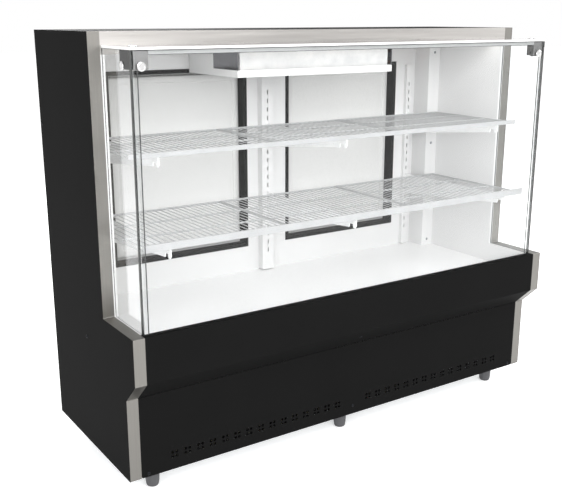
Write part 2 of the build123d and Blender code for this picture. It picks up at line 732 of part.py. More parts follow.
def fan_rotor(centre, axis, radius, hub_height):
    """Hub with a shaft bore and pitched blades, centred on the fan's axis."""
    base = Plane(origin=centre, z_dir=axis)
    with BuildSketch(base) as hub:
        Circle(fan_hub_radius)
        Circle(shaft_radius + shaft_clearance, mode=Mode.SUBTRACT)
    extrude(hub.sketch, amount=hub_height)
    middle = base.origin + base.z_dir * (hub_height / 2)
    for blade in range(fan_blades):
        radial = base.x_dir.rotate(Axis((0, 0, 0), base.z_dir), blade * 360 / fan_blades)
        normal = base.z_dir.rotate(Axis((0, 0, 0), radial), blade_pitch_deg)
        root = fan_hub_radius - blade_root_sink
        with BuildSketch(Plane(origin=middle, x_dir=radial, z_dir=normal)) as outline:
            with BuildLine():
                Polyline(
                    (root, -hub_height / 2),
                    (radius * blade_leading_share, -blade_tip_share * radius),
                    (radius, 0),
                    (radius * blade_trailing_share, blade_tip_share * radius),
                    (root, hub_height / 2),
                    close=True,
                )
            make_face()
        extrude(outline.sketch, amount=blade_thickness / 2, both=True)


with BuildPart() as evaporator_fan:
    fan_rotor((0, plenum_y, fan_bottom_z), (0, 0, 1), fan_hole_radius - fan_tip_gap, fan_hub_height)
save(evaporator_fan.part, "evaporator_fan")

with BuildPart() as evaporator_motor:
    motor_bottom_z = fan_bottom_z + fan_hub_height + motor_gap
    rod((0, plenum_y, motor_bottom_z), (0, 0, 1), motor_radius, motor_height)
    rod((0, plenum_y, motor_bottom_z), (0, 0, -1), shaft_radius,
        motor_gap + fan_hub_height - shaft_end_gap)
    rod((0, plenum_y, motor_bottom_z + motor_height), (0, 0, 1), motor_boss_radius,
        ceiling_z - motor_bottom_z - motor_height)
save(evaporator_motor.part, "evaporator_motor")

# LED lamp, hidden behind the fascia
lamp_width = 24
lamp_back = 18
lamp_end_gap = 11
lamp_gap = 2
lamp_chamfer = 4
with BuildPart() as led_lamp:
    lamp_y = (fascia_y + lamp_back, fascia_y + lamp_back + lamp_width)
    panel((-liner_x + lamp_end_gap, liner_x - lamp_end_gap), lamp_y,
          (fascia_bottom_z + lamp_gap, ceiling_z))
    chamfer(led_lamp.faces().sort_by(Axis.Z)[0].edges().filter_by(Axis.X), length=lamp_chamfer)
save(led_lamp.part, "led_lamp")

# Wire shelves in three panels each, with a front rim, on plate arms
shelf_side_gap = 11
shelf_panels = 3
shelf_panel_gap = 2
wire = 4
wire_columns = 18
wire_rows = 5
shelf_back_gap = 3  # in front of the corner duct
rim_thickness = 2
lower_shelf_setback = 49
lower_shelf_z = 700
lower_rim_height = 20
lower_rim_rise = 12  # how far a rim stands above its wires
upper_shelf_setback = 101
upper_shelf_z = 929
upper_rim_height = 13
upper_rim_rise = 5
shelves = (
    ("lower_shelf", front_y + lower_shelf_setback, lower_shelf_z, lower_rim_rise, lower_rim_height),
    ("upper_shelf", front_y + upper_shelf_setback, upper_shelf_z, upper_rim_rise, upper_rim_height),
)
shelf_half_width = liner_x - shelf_side_gap
shelf_back_y = wall_y - duct_depth - shelf_back_gap
for name, shelf_front_y, grid_top_z, rim_rise, rim_height in shelves:
    panel_width = 2 * shelf_half_width / shelf_panels
    grid_depth = shelf_back_y - shelf_front_y - rim_thickness
    column_pitch = (panel_width - shelf_panel_gap - wire) / wire_columns
    row_pitch = (grid_depth - wire) / wire_rows
    with BuildPart() as shelf:
        with BuildSketch(Plane.XY.offset(grid_top_z)):
            with Locations((0, shelf_front_y + rim_thickness + grid_depth / 2)):
                with GridLocations(panel_width, 0, shelf_panels, 1):
                    Rectangle(panel_width - shelf_panel_gap, grid_depth)
                    with GridLocations(column_pitch, row_pitch, wire_columns, wire_rows):
                        Rectangle(column_pitch - wire, row_pitch - wire, mode=Mode.SUBTRACT)
        extrude(amount=-wire)
        panel((-shelf_half_width, shelf_half_width), (shelf_front_y, shelf_front_y + rim_thickness),
              (grid_top_z + rim_rise - rim_height, grid_top_z + rim_rise))
    save(shelf.part, name)

arm_thickness = 3
arm_root_height = 74
arm_tip_height = 20
hook_height = 9
hook_reach = 3
hook_depth = upright_wall + hook_reach
slot_centre_z = (upright_bottom_z + upright_top_z) / 2
first_slot_z = slot_centre_z - (slots_per_upright - 1) * slot_pitch / 2
with BuildPart() as shelf_arms:
    for name, shelf_front_y, grid_top_z, rim_rise, rim_height in shelves:
        arm_top_z = grid_top_z - wire
        arm_front_y = shelf_front_y + rim_thickness
        lowest_slot = round((arm_top_z - arm_root_height / 2 - first_slot_z) / slot_pitch)
        for x, width, depth in upright_places:
            arm_back_y = wall_y - depth
            with BuildSketch(Plane.YZ.offset(x - arm_thickness / 2)) as arm:
                with BuildLine():
                    Polyline(
                        (arm_back_y, arm_top_z),
                        (arm_back_y, arm_top_z - arm_root_height),
                        (arm_front_y, arm_top_z - arm_tip_height),
                        (arm_front_y, arm_top_z),
                        close=True,
                    )
                make_face()
            extrude(arm.sketch, amount=arm_thickness)
            for slot in (lowest_slot, lowest_slot + 1):
                hook_z = first_slot_z + slot * slot_pitch
                panel((x - arm_thickness / 2, x + arm_thickness / 2),
                      (arm_back_y, arm_back_y + hook_depth),
                      (hook_z - hook_height / 2, hook_z + hook_height / 2))
save(shelf_arms.part, "shelf_arms")

# Base tray and six levelling feet
tray_thickness = 2
tray_flange = 26
foot_radius = 20
foot_neck_radius = 15
foot_pad_height = 22
foot_chamfer = 2
stem_bolt_radius = 5
stem_bolt_height = 26
foot_side_inset = 94
foot_x = half_width - foot_side_inset
foot_front_inset = 66
foot_rear_inset = 75
front_foot_y = toe_y + foot_front_inset
rear_foot_y = rear_y - foot_rear_inset
tray_x = half_width - skin - contact_gap
tray_y = (toe_y + vent_panel_return + contact_gap, rear_y - skin - contact_gap)
floor_z = foot_height + tray_thickness
foot_places = {
    "foot_front_left": (-foot_x, front_foot_y),
    "foot_front_centre": (0, front_foot_y),
    "foot_front_right": (foot_x, front_foot_y),
    "foot_rear_left": (-foot_x, rear_foot_y),
    "foot_rear_centre": (0, rear_foot_y),
    "foot_rear_right": (foot_x, rear_foot_y),
}
with BuildPart() as base_tray:
    panel((-tray_x, tray_x), tray_y, (foot_height, foot_height + tray_flange))
    panel((-tray_x + tray_thickness, tray_x - tray_thickness),
          (tray_y[0] + tray_thickness, tray_y[1] - tray_thickness),
          (floor_z, foot_height + tray_flange), mode=Mode.SUBTRACT)
    for x, y in foot_places.values():
        rod((x, y, foot_height), (0, 0, 1), stem_bolt_radius + shaft_clearance, tray_thickness,
            mode=Mode.SUBTRACT)
save(base_tray.part, "base_tray")

for name, (x, y) in foot_places.items():
    with BuildPart() as foot:
        with BuildSketch(Plane(origin=(x, y, 0), x_dir=(1, 0, 0), z_dir=(0, -1, 0))):
            with BuildLine():
                Polyline(
                    (0, 0),
                    (foot_radius - foot_chamfer, 0),
                    (foot_radius, foot_chamfer),
                    (foot_radius, foot_pad_height),
                    (foot_neck_radius, foot_pad_height + foot_chamfer),
                    (foot_neck_radius, foot_height),
                    (stem_bolt_radius, foot_height),
                    (stem_bolt_radius, foot_height + stem_bolt_height),
                    (0, foot_height + stem_bolt_height),
                    close=True,
                )
            make_face()
        revolve(axis=Axis((x, y, 0), (0, 0, 1)))
    save(foot.part, name)

# Cooling set in the machine bay
compressor_centre = (60, 60)
compressor_radius = 82
compressor_height = 165
compressor_seam = 5
compressor_crown = 55
mount_plate_size = 210
mount_plate_thick = 3
grommet_radius = 11
grommet_height = 14
grommet_pitch = 170
with BuildPart() as compressor:
    plate_z = floor_z + grommet_height
    shell_z = plate_z + mount_plate_thick
    with BuildSketch(Plane.XY.offset(plate_z)):
        with Locations(compressor_centre):
            RectangleRounded(mount_plate_size, mount_plate_size, grommet_radius)
    extrude(amount=mount_plate_thick)
    with BuildSketch(Plane.XY.offset(floor_z)):
        with Locations(compressor_centre):
            with GridLocations(grommet_pitch, grommet_pitch, 2, 2):
                Circle(grommet_radius)
    extrude(amount=grommet_height)
    seam_z = shell_z + compressor_height / 2
    with BuildSketch(Plane.XY.offset(shell_z)):
        with Locations(compressor_centre):
            Circle(compressor_radius)
    extrude(amount=compressor_height)
    fillet(compressor.faces().sort_by(Axis.Z)[-1].edges(), radius=compressor_crown)
    rod((*compressor_centre, seam_z), (0, 0, 1), compressor_radius + compressor_seam, compressor_seam)
save(compressor.part, "compressor")

condenser_inset = 265
condenser_centre_x = half_width - condenser_inset
condenser_width = 310
condenser_depth = 50
condenser_height = 220
condenser_gap = 22  # behind the vent panel
condenser_fin = 0.8
condenser_fin_pitch = 6
condenser_fins = 50
condenser_tube_radius = 4
condenser_tube_pitch_z = 36
condenser_tube_pitch_y = 25
condenser_tube_rows = 6
condenser_tube_columns = 2
condenser_plate = 2
shroud_depth = 44
condenser_fan_radius = 100
condenser_fan_hub_height = 18
condenser_y = (toe_y + condenser_gap, toe_y + condenser_gap + condenser_depth)
condenser_z = (floor_z, floor_z + condenser_height)
condenser_x = (condenser_centre_x - condenser_width / 2, condenser_centre_x + condenser_width / 2)
with BuildPart() as condenser:
    with BuildSketch(Plane.XY.offset(condenser_z[0])):
        with Locations((condenser_centre_x, sum(condenser_y) / 2)):
            with GridLocations(condenser_fin_pitch, 0, condenser_fins, 1):
                Rectangle(condenser_fin, condenser_depth)
            with GridLocations(condenser_width - condenser_plate, 0, 2, 1):
                Rectangle(condenser_plate, condenser_depth)
    extrude(amount=condenser_height)
    with BuildSketch(Plane.YZ.offset(condenser_x[0])):
        with Locations((sum(condenser_y) / 2, sum(condenser_z) / 2)):
            with GridLocations(condenser_tube_pitch_y, condenser_tube_pitch_z,
                               condenser_tube_columns, condenser_tube_rows):
                Circle(condenser_tube_radius)
    extrude(amount=condenser_width)
save(condenser.part, "condenser")

shroud_wall = 1.5
fan_centre_z = sum(condenser_z) / 2
strap_thickness = 3
strap_width = 26
condenser_motor_length = 60
with BuildPart() as fan_shroud:
    panel(condenser_x, (condenser_y[1], condenser_y[1] + shroud_depth), condenser_z)
    panel((condenser_x[0] + shroud_wall, condenser_x[1] - shroud_wall),
          (condenser_y[1], condenser_y[1] + shroud_depth - shroud_wall),
          (condenser_z[0] + shroud_wall, condenser_z[1] - shroud_wall), mode=Mode.SUBTRACT)
    rod((condenser_centre_x, condenser_y[1], fan_centre_z), (0, 1, 0),
        condenser_fan_radius + fan_tip_gap, shroud_depth, mode=Mode.SUBTRACT)
    motor_y = condenser_y[1] + shroud_depth
    panel(condenser_x, (motor_y, motor_y + strap_thickness),
          (fan_centre_z - strap_width / 2, fan_centre_z + strap_width / 2))
    rod((condenser_centre_x, motor_y, fan_centre_z), (0, 1, 0), motor_radius,
        condenser_motor_length)
    rod((condenser_centre_x, motor_y, fan_centre_z), (0, -1, 0), shaft_radius,
        (shroud_depth + condenser_fan_hub_height) / 2 - shaft_end_gap)
save(fan_shroud.part, "fan_shroud")

with BuildPart() as condenser_fan:
    rotor_y = condenser_y[1] + (shroud_depth - condenser_fan_hub_height) / 2
    fan_rotor((condenser_centre_x, rotor_y, fan_centre_z), (0, 1, 0), condenser_fan_radius,
              condenser_fan_hub_height)
save(condenser_fan.part, "condenser_fan")

# Pipes: suction and liquid lines up to the evaporator, and the discharge line
bend = 24
bay_pipe_drop = 22
liquid_inlet_rise = 73
bay_pipe_z = bay_top_z - bay_pipe_drop
liquid_inlet_z = condenser_z[0] + liquid_inlet_rise
condenser_middle_y = sum(condenser_y) / 2
compressor_top_z = shell_z + compressor_height
stub_offset = 17
suction_stub = (compressor_centre[0] + stub_offset, compressor_centre[1])
discharge_stub = (compressor_centre[0] - stub_offset, compressor_centre[1])
drier_radius = 12
drier_length = 90
pipe_routes = (
    (suction_radius, (
        (evaporator_half_width, suction_y, pipe_ceiling_z),
        (pipe_x, suction_y, pipe_ceiling_z),
        (pipe_x, suction_y, bay_pipe_z),
        (pipe_x, suction_stub[1], bay_pipe_z),
        (suction_stub[0], suction_stub[1], bay_pipe_z),
        (suction_stub[0], suction_stub[1], compressor_top_z),
    )),
    (liquid_radius, (
        (evaporator_half_width, liquid_y, pipe_ceiling_z),
        (pipe_x, liquid_y, pipe_ceiling_z),
        (pipe_x, liquid_y, liquid_inlet_z),
        (pipe_x, condenser_middle_y, liquid_inlet_z),
        (condenser_x[1], condenser_middle_y, liquid_inlet_z),
    )),
    (liquid_radius, (
        (discharge_stub[0], discharge_stub[1], compressor_top_z),
        (discharge_stub[0], discharge_stub[1], bay_pipe_z),
        (discharge_stub[0], condenser_middle_y, bay_pipe_z),
        (condenser_x[0] + bend, condenser_middle_y, bay_pipe_z),
        (condenser_x[0] + bend, condenser_middle_y, condenser_z[1]),
    )),
)
with BuildPart() as refrigerant_pipes:
    for radius, route in pipe_routes:
        with BuildLine() as path:
            FilletPolyline(*route, radius=bend)
        with BuildSketch(Plane(origin=path.line @ 0, z_dir=path.line % 0)) as section:
            Circle(radius)
        sweep(section.sketch, path=path.line)
    rod((pipe_x, liquid_y, bay_top_z - drier_length), (0, 0, -1), drier_radius, drier_length)
save(refrigerant_pipes.part, "refrigerant_pipes")

# Controls and inlet on the operator's side
bezel = 3
knob_x = -44
switch_x = 44
knob_radius = 16
knob_height = 14
knob_gap = 0.6
knob_flutes = 12
knob_flute_radius = 2
knob_chamfer = 1
knob_shaft_length = 12
rocker_width = 14
rocker_height = 24
rocker_depth = 9
rocker_foot = 8
rocker_dip = 2  # height of the waist above the bezel, and of the ends
rocker_rise = 4
rocker_edge = 1
rocker_gap = 0.4
rocker_end_gap = 1.4
rocker_tilt_deg = 8
with BuildPart() as control_panel:
    face_y = rear_y + bezel
    panel((-control_width / 2 - control_lip, control_width / 2 + control_lip), (rear_y, face_y),
          (control_centre_z - control_height / 2 - control_lip,
           control_centre_z + control_height / 2 + control_lip))
    fillet(control_panel.edges().filter_by(Axis.Y), radius=control_lip)
    panel((-control_width / 2 + contact_gap, control_width / 2 - contact_gap),
          (rear_y - control_depth, rear_y),
          (control_centre_z - control_height / 2 + contact_gap,
           control_centre_z + control_height / 2 - contact_gap))
    rod((knob_x, face_y, control_centre_z), (0, -1, 0), shaft_radius + shaft_clearance,
        knob_height, mode=Mode.SUBTRACT)
    panel((switch_x - rocker_width / 2 - rocker_gap, switch_x + rocker_width / 2 + rocker_gap),
          (face_y - 2 * rocker_depth, face_y),
          (control_centre_z - rocker_height / 2 - rocker_end_gap,
           control_centre_z + rocker_height / 2 + rocker_end_gap), mode=Mode.SUBTRACT)
save(control_panel.part, "control_panel")

with BuildPart() as thermostat_knob:
    rod((knob_x, face_y + knob_gap, control_centre_z), (0, 1, 0), knob_radius, knob_height)
    chamfer(thermostat_knob.faces().sort_by(Axis.Y)[-1].edges(), length=knob_chamfer)
    knob_base = Plane(origin=(knob_x, face_y + knob_gap, control_centre_z), z_dir=(0, 1, 0))
    with BuildSketch(knob_base) as flutes:
        with PolarLocations(knob_radius, knob_flutes):
            Circle(knob_flute_radius)
    extrude(flutes.sketch, amount=knob_height, mode=Mode.SUBTRACT)
    rod((knob_x, face_y + knob_gap, control_centre_z), (0, -1, 0), shaft_radius,
        knob_shaft_length)
save(thermostat_knob.part, "thermostat_knob")

with BuildPart() as light_switch:
    outward = Vector(0, 1, 0).rotate(Axis.X, rocker_tilt_deg)
    with BuildSketch(Plane(origin=(switch_x - rocker_width / 2, face_y, control_centre_z),
                           x_dir=outward, z_dir=(1, 0, 0))):
        with BuildLine():
            Polyline(
                (-rocker_depth, -rocker_foot / 2),
                (-rocker_depth, rocker_foot / 2),
                (rocker_dip, rocker_height / 2 - rocker_edge),
                (rocker_rise, rocker_height / 2 - rocker_edge),
                (rocker_dip, 0),
                (rocker_rise, -rocker_height / 2 + rocker_edge),
                (rocker_dip, -rocker_height / 2 + rocker_edge),
                close=True,
            )
        make_face()
    extrude(amount=rocker_width)
save(light_switch.part, "light_switch")

inlet_flange = 9
inlet_flange_thick = 3
inlet_depth = 20
inlet_wall = 2
inlet_pin_width = 2
inlet_pin_height = 5
inlet_pin_length = 14
inlet_pin_pitch = 7
outer_pin_drop = 2
middle_pin_rise = 3
with BuildPart() as power_inlet:
    x, z = inlet_centre
    panel((x - inlet_width / 2 - inlet_flange, x + inlet_width / 2 + inlet_flange),
          (rear_y, rear_y + inlet_flange_thick),
          (z - inlet_height / 2 - inlet_flange / 2, z + inlet_height / 2 + inlet_flange / 2))
    panel((x - inlet_width / 2 + contact_gap, x + inlet_width / 2 - contact_gap),
          (rear_y - inlet_depth, rear_y),
          (z - inlet_height / 2 + contact_gap, z + inlet_height / 2 - contact_gap))
    panel((x - inlet_width / 2 + inlet_wall, x + inlet_width / 2 - inlet_wall),
          (rear_y - inlet_depth + inlet_wall, rear_y + inlet_flange_thick),
          (z - inlet_height / 2 + inlet_wall, z + inlet_height / 2 - inlet_wall),
          mode=Mode.SUBTRACT)
    pin_base_y = rear_y - inlet_depth + inlet_wall
    for pin_x, pin_z in ((x - inlet_pin_pitch, z - outer_pin_drop), (x, z + middle_pin_rise),
                         (x + inlet_pin_pitch, z - outer_pin_drop)):
        panel((pin_x - inlet_pin_width / 2, pin_x + inlet_pin_width / 2),
              (pin_base_y, pin_base_y + inlet_pin_length),
              (pin_z - inlet_pin_height / 2, pin_z + inlet_pin_height / 2))
save(power_inlet.part, "power_inlet")

# Screws: each is a domed head on the face it holds, with its shank through the sheet


def screw(centre, inward, length=screw_length):
    """Domed head outside the sheet and a shank through it, pointing inward."""
    inward = Vector(*inward)
    face = Vector(*centre)
    rod(face, inward, screw_radius, length)
    with BuildSketch(Plane(origin=face, z_dir=-inward)) as head:
        Circle(screw_head_radius)
    extrude(head.sketch, amount=screw_head_height, taper=screw_head_taper_deg)


with BuildPart() as screws:
    for x, z in ((-vent_panel_screw_x, vent_panel_screw_z), (0, vent_centre_screw_z),
                 (vent_panel_screw_x, vent_panel_screw_z)):
        screw((x, toe_y, z), (0, 1, 0))
    screw(slope_screw, slope_inward)
    for side in (-1, 1):
        for y, z in side_screws:
            screw((side * half_width, y, z), (-side, 0, 0))
        for z in (-1, 1):
            grille_screw_z = grille_bottom_z + grille_height / 2 + z * grille_height / 2
            screw((side * grille_screw_x, rear_y + skin, grille_screw_z), (0, -1, 0), skin)
            hinge_x = side * (opening_centre_x + door_width / 2 - pivot_from_edge)
            bracket_z = opening_centre_z + z * (door_height / 2 + bracket_gap + bracket_height / 2)
            for x in (hinge_x - bracket_screw_pitch / 2, hinge_x + bracket_screw_pitch / 2):
                screw((x, rear_y + bracket_thick, bracket_z), (0, -1, 0), bracket_thick)
    for z in duct_screw_heights:
        screw((pipe_x, duct_front_y, z), (0, 1, 0), skin)
save(screws.part, "screws")
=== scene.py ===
import math
import bpy
import bmesh
from mathutils import Matrix, Vector


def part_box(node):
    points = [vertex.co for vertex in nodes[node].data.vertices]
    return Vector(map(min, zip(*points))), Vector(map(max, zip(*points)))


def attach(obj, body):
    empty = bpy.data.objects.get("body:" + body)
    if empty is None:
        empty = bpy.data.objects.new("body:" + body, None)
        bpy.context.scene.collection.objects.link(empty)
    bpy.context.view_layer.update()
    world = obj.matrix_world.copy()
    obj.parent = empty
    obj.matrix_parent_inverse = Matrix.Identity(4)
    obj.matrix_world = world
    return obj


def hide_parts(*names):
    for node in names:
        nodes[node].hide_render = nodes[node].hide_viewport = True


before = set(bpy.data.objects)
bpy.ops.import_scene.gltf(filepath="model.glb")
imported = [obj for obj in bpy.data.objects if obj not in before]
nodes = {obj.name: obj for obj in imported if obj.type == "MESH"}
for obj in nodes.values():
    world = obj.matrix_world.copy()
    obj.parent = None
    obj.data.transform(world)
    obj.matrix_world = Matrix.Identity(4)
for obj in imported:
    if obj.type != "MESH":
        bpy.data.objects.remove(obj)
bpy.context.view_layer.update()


# Camera
# It stands left of the case and a little above its top, as the photograph was taken, with the
# whole case in the frame.
photo_width = 562
sensor_width = 36
focal_length_px = 860
centre_offset_px = (2.7, 2.3)
camera_place = (-1.5429, -2.1842, 1.2623)
camera_yaw_deg = 33.592
camera_pitch_deg = 15.268

camera_data = bpy.data.cameras.new("camera")
camera_data.sensor_width = sensor_width
camera_data.lens = sensor_width * focal_length_px / photo_width
camera_data.shift_x = -centre_offset_px[0] / photo_width
camera_data.shift_y = centre_offset_px[1] / photo_width
camera = bpy.data.objects.new("camera", camera_data)
camera.location = camera_place
camera.rotation_euler = (math.radians(90 - camera_pitch_deg), 0, -math.radians(camera_yaw_deg))
bpy.context.scene.collection.objects.link(camera)
bpy.context.scene.camera = camera
bpy.context.scene.view_settings.view_transform = "Standard"


# Studio: pale floor, even white surroundings and soft lamps
# The surroundings are white for the camera, for glass and for metal. The floor is a matt white
# sheet that keeps the case's soft shadow.
def linear(hex_colour):
    """An sRGB hex colour as linear RGBA."""
    channels = [int(hex_colour[place:place + 2], 16) / 255 for place in (1, 3, 5)]
    return (*(c / 12.92 if c <= 0.04045 else ((c + 0.055) / 1.055) ** 2.4 for c in channels), 1)


def toned(hex_colour, share):
    """The same colour with more or less light in it."""
    return (*(min(1.0, share * c) for c in linear(hex_colour)[:3]), 1)


def add(tree, kind, inputs=None, **settings):
    """Adds a node: its settings, then its inputs. A value is set, an output is linked, a node
    stands for its first output, and a list holds several links for one input."""
    made = tree.nodes.new(kind)
    for name, value in settings.items():
        setattr(made, name, value)
    for name, value in (inputs or {}).items():
        for source in value if isinstance(value, list) else [value]:
            if isinstance(source, bpy.types.Node):
                source = next(output for output in source.outputs if output.enabled)
            if isinstance(source, bpy.types.NodeSocket):
                tree.links.new(source, made.inputs[name])
            else:
                made.inputs[name].default_value = source
    return made


def new_material(name):
    """An empty material and its tree."""
    made = bpy.data.materials.new(name)
    made.use_nodes = True
    made.node_tree.nodes.clear()
    return made, made.node_tree


def seen_directly(tree):
    """1 for rays from the camera, off gloss or through glass, else 0."""
    ray = add(tree, "ShaderNodeLightPath").outputs
    either = add(tree, "ShaderNodeMath", {0: ray["Is Camera Ray"], 1: ray["Is Glossy Ray"]},
                 operation="MAXIMUM")
    return add(tree, "ShaderNodeMath", {0: either, 1: ray["Is Transmission Ray"]},
               operation="MAXIMUM")


world_light = 0.88
world = bpy.data.worlds.new("white studio")
world.use_nodes = True
tree = world.node_tree
tree.nodes.clear()
strength = add(tree, "ShaderNodeMix", {"Factor": seen_directly(tree), "A": world_light, "B": 1.0},
               data_type="FLOAT")
sky = add(tree, "ShaderNodeBackground", {"Color": linear("#FFFFFF"), "Strength": strength})
add(tree, "ShaderNodeOutputWorld", {"Surface": sky})
bpy.context.scene.world = world

floor_half = 30.0
floor_glow = 0.42
floor_corners = [(floor_half * x, floor_half * y, 0)
                 for x, y in ((-1, -1), (1, -1), (1, 1), (-1, 1))]
floor_mesh = bpy.data.meshes.new("floor")
floor_mesh.from_pydata(floor_corners, [], [(0, 1, 2, 3)])
floor = bpy.data.objects.new("floor", floor_mesh)
bpy.context.scene.collection.objects.link(floor)
floor_sheet, tree = new_material("matt white floor sheet")
white = add(tree, "ShaderNodeBsdfDiffuse", {"Color": linear("#F4F4F4")})
glow = add(tree, "ShaderNodeEmission", {"Color": linear("#FFFFFF"), "Strength": floor_glow})
both = add(tree, "ShaderNodeAddShader", {0: white, 1: glow})
shown = add(tree, "ShaderNodeMixShader", {0: seen_directly(tree), 1: white, 2: both})
add(tree, "ShaderNodeOutputMaterial", {"Surface": shown})
floor_mesh.materials.append(floor_sheet)


def soft_lamp(name, place, target, size, power):
    """A square softbox that looks at a point."""
    data = bpy.data.lights.new(name, "AREA")
    data.shape = "SQUARE"
    data.size = size
    data.energy = power
    lamp = bpy.data.objects.new(name, data)
    lamp.location = place
    lamp.rotation_euler = (Vector(target) - Vector(place)).to_track_quat("-Z", "Y").to_euler()
    bpy.context.scene.collection.objects.link(lamp)


soft_lamp("front softbox", (-0.4, -3.8, 2.4), (0.1, 0, 0.8), 2.4, 100)
soft_lamp("left softbox", (-3.4, -2.6, 1.9), (0.3, 0, 0.9), 2.4, 60)
soft_lamp("right softbox", (3.4, -1.4, 2.2), (0.3, 0, 0.7), 2.0, 45)
soft_lamp("rear softbox", (0.6, 3.8, 2.6), (0, 0.2, 0.7), 2.4, 120)


# Base tray and its feet
# Galvanised sheet folded into a shallow tray. Six moulded nylon feet screw up into it and are
# turned to level the case.
mm = 0.001


def finish_nodes(material, *names):
    """Gives CAD nodes their material."""
    for name in names:
        for place in nodes[name].material_slots:
            place.material = material


def middle(node):
    """The middle of a node's box, in millimetres."""
    return [(low + high) / 2 / mm for low, high in zip(*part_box(node))]


def fitted(piece, body, node=None):
    """Says which body a piece rides, and hides the CAD node it stands for."""
    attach(piece, body)
    if node:
        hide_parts(node)


def smooth_faces(mesh):
    """Shades a mesh smooth, apart from its creases."""
    crease_deg = 32
    for polygon in mesh.polygons:
        polygon.use_smooth = True
    mesh.set_sharp_from_angle(angle=math.radians(crease_deg))


def made_object(name, shape, *materials):
    """An object at the origin from a bmesh, smooth apart from its creases."""
    mesh = bpy.data.meshes.new(name)
    shape.to_mesh(mesh)
    shape.free()
    smooth_faces(mesh)
    for material in materials:
        mesh.materials.append(material)
    made = bpy.data.objects.new(name, mesh)
    bpy.context.scene.collection.objects.link(made)
    return made


def loft(shape, loops, closed=False, material_index=0):
    """Skins successive loops of points: capped at both ends, or closed into a ring. The volume
    of the form tells whether its faces point outwards, and they are turned if they don't."""
    rows = [[shape.verts.new(point) for point in loop] for loop in loops]
    faces = []
    for first, second in zip(rows, rows[1:] + rows[:1] if closed else rows[1:]):
        for place in range(len(first)):
            after = (place + 1) % len(first)
            faces.append(shape.faces.new((first[place], first[after], second[after],
                                          second[place])))
    if not closed:
        faces += [shape.faces.new(rows[0]), shape.faces.new(rows[-1])]
    bmesh.ops.recalc_face_normals(shape, faces=faces)
    start = faces[0].calc_center_median()
    volume = 0
    for face in faces:
        face.normal_update()
        face.material_index = material_index
        volume += face.calc_area() * face.normal.dot(face.calc_center_median() - start)
    if volume < 0:
        bmesh.ops.reverse_faces(shape, faces=faces)


def circle(radius, sides):
    """Points round a circle."""
    return [(radius * math.cos(2 * math.pi * step / sides),
             radius * math.sin(2 * math.pi * step / sides)) for step in range(sides)]


def varied(tree, colour, drift, dark, light, roughness, grain, low, high, spread):
    """A colour that drifts between a darker and a paler tone, and a roughness that follows the
    grain where it lies between low and high."""
    shade = add(tree, "ShaderNodeMix", {"Factor": drift, "A": toned(colour, dark),
                "B": toned(colour, light)}, data_type="RGBA")
    rough = add(tree, "ShaderNodeMapRange", {"Value": grain, "From Min": low, "From Max": high,
                "To Min": roughness - spread, "To Max": roughness + spread})
    return {"Base Color": shade, "Roughness": rough}


def moulded_plastic(name, colour, roughness, specular, grain_mm, grain_height_mm):
    """Moulded plastic: the fine spark grain of its mould, and a slight drift of tone."""
    drift_mm = 45
    made, tree = new_material(name)
    place = add(tree, "ShaderNodeTexCoord").outputs["Object"]
    grain = add(tree, "ShaderNodeTexNoise", {"Vector": place, "Scale": 1 / (grain_mm * mm),
                "Detail": 2.0, "Roughness": 0.5})
    drift = add(tree, "ShaderNodeTexNoise", {"Vector": place, "Scale": 1 / (drift_mm * mm),
                "Detail": 2.0})
    bump = add(tree, "ShaderNodeBump", {"Height": grain, "Strength": 0.5,
               "Distance": grain_height_mm * mm})
    skin = varied(tree, colour, drift, 0.90, 1.10, roughness, grain, 0.3, 0.7, 0.06)
    body = add(tree, "ShaderNodeBsdfPrincipled", {**skin, "Specular IOR Level": specular,
               "Normal": bump})
    add(tree, "ShaderNodeOutputMaterial", {"Surface": body})
    return made


# galvanised sheet: grey with the frost-like crystals of hot-dipped zinc, 14 mm across
crystal_mm = 14
galvanised, tree = new_material("galvanised sheet")
place = add(tree, "ShaderNodeTexCoord").outputs["Object"]
crystals = add(tree, "ShaderNodeTexVoronoi", {"Vector": place, "Scale": 1 / (crystal_mm * mm),
               "Randomness": 1.0}).outputs["Color"]
tone = add(tree, "ShaderNodeValToRGB", {"Fac": crystals})
tone.color_ramp.elements[0].color = linear("#9CA0A2")
tone.color_ramp.elements[1].color = linear("#B9BDBF")
rough = add(tree, "ShaderNodeMapRange", {"Value": crystals, "To Min": 0.34, "To Max": 0.52})
body = add(tree, "ShaderNodeBsdfPrincipled", {"Base Color": tone, "Metallic": 0.9,
           "Roughness": rough})
add(tree, "ShaderNodeOutputMaterial", {"Surface": body})
finish_nodes(galvanised, "base_tray", "fan_shroud")

# moulded nylon: dark grey and dull, with a coarse grain of 1.2 mm drawn so that it shows
grey_nylon = moulded_plastic("moulded grey nylon", "#525254", 0.55, 0.4, 1.2, 0.06)
# radius and height of each turn of the foot: pad, cone, collar and the spindle above it
foot_profile = ((0.4, 0), (13.5, 0), (15.6, 0.8), (17.0, 2.6), (18.2, 7), (19.4, 15), (20, 26),
                (20, 60), (19.2, 64.5), (17, 66.8), (5, 66.8), (5, 93), (0.4, 93))
foot_sides = 40
for row in ("front", "rear"):
    for end in ("left", "centre", "right"):
        node = f"foot_{row}_{end}"
        foot_x, foot_y, _ = middle(node)
        shape = bmesh.new()
        loft(shape, [[Vector((foot_x + x, foot_y + y, height)) * mm
                      for x, y in circle(radius, foot_sides)] for radius, height in foot_profile])
        foot = made_object(f"levelling_{node}", shape, grey_nylon)
        fitted(foot, f"{node}_body", node)


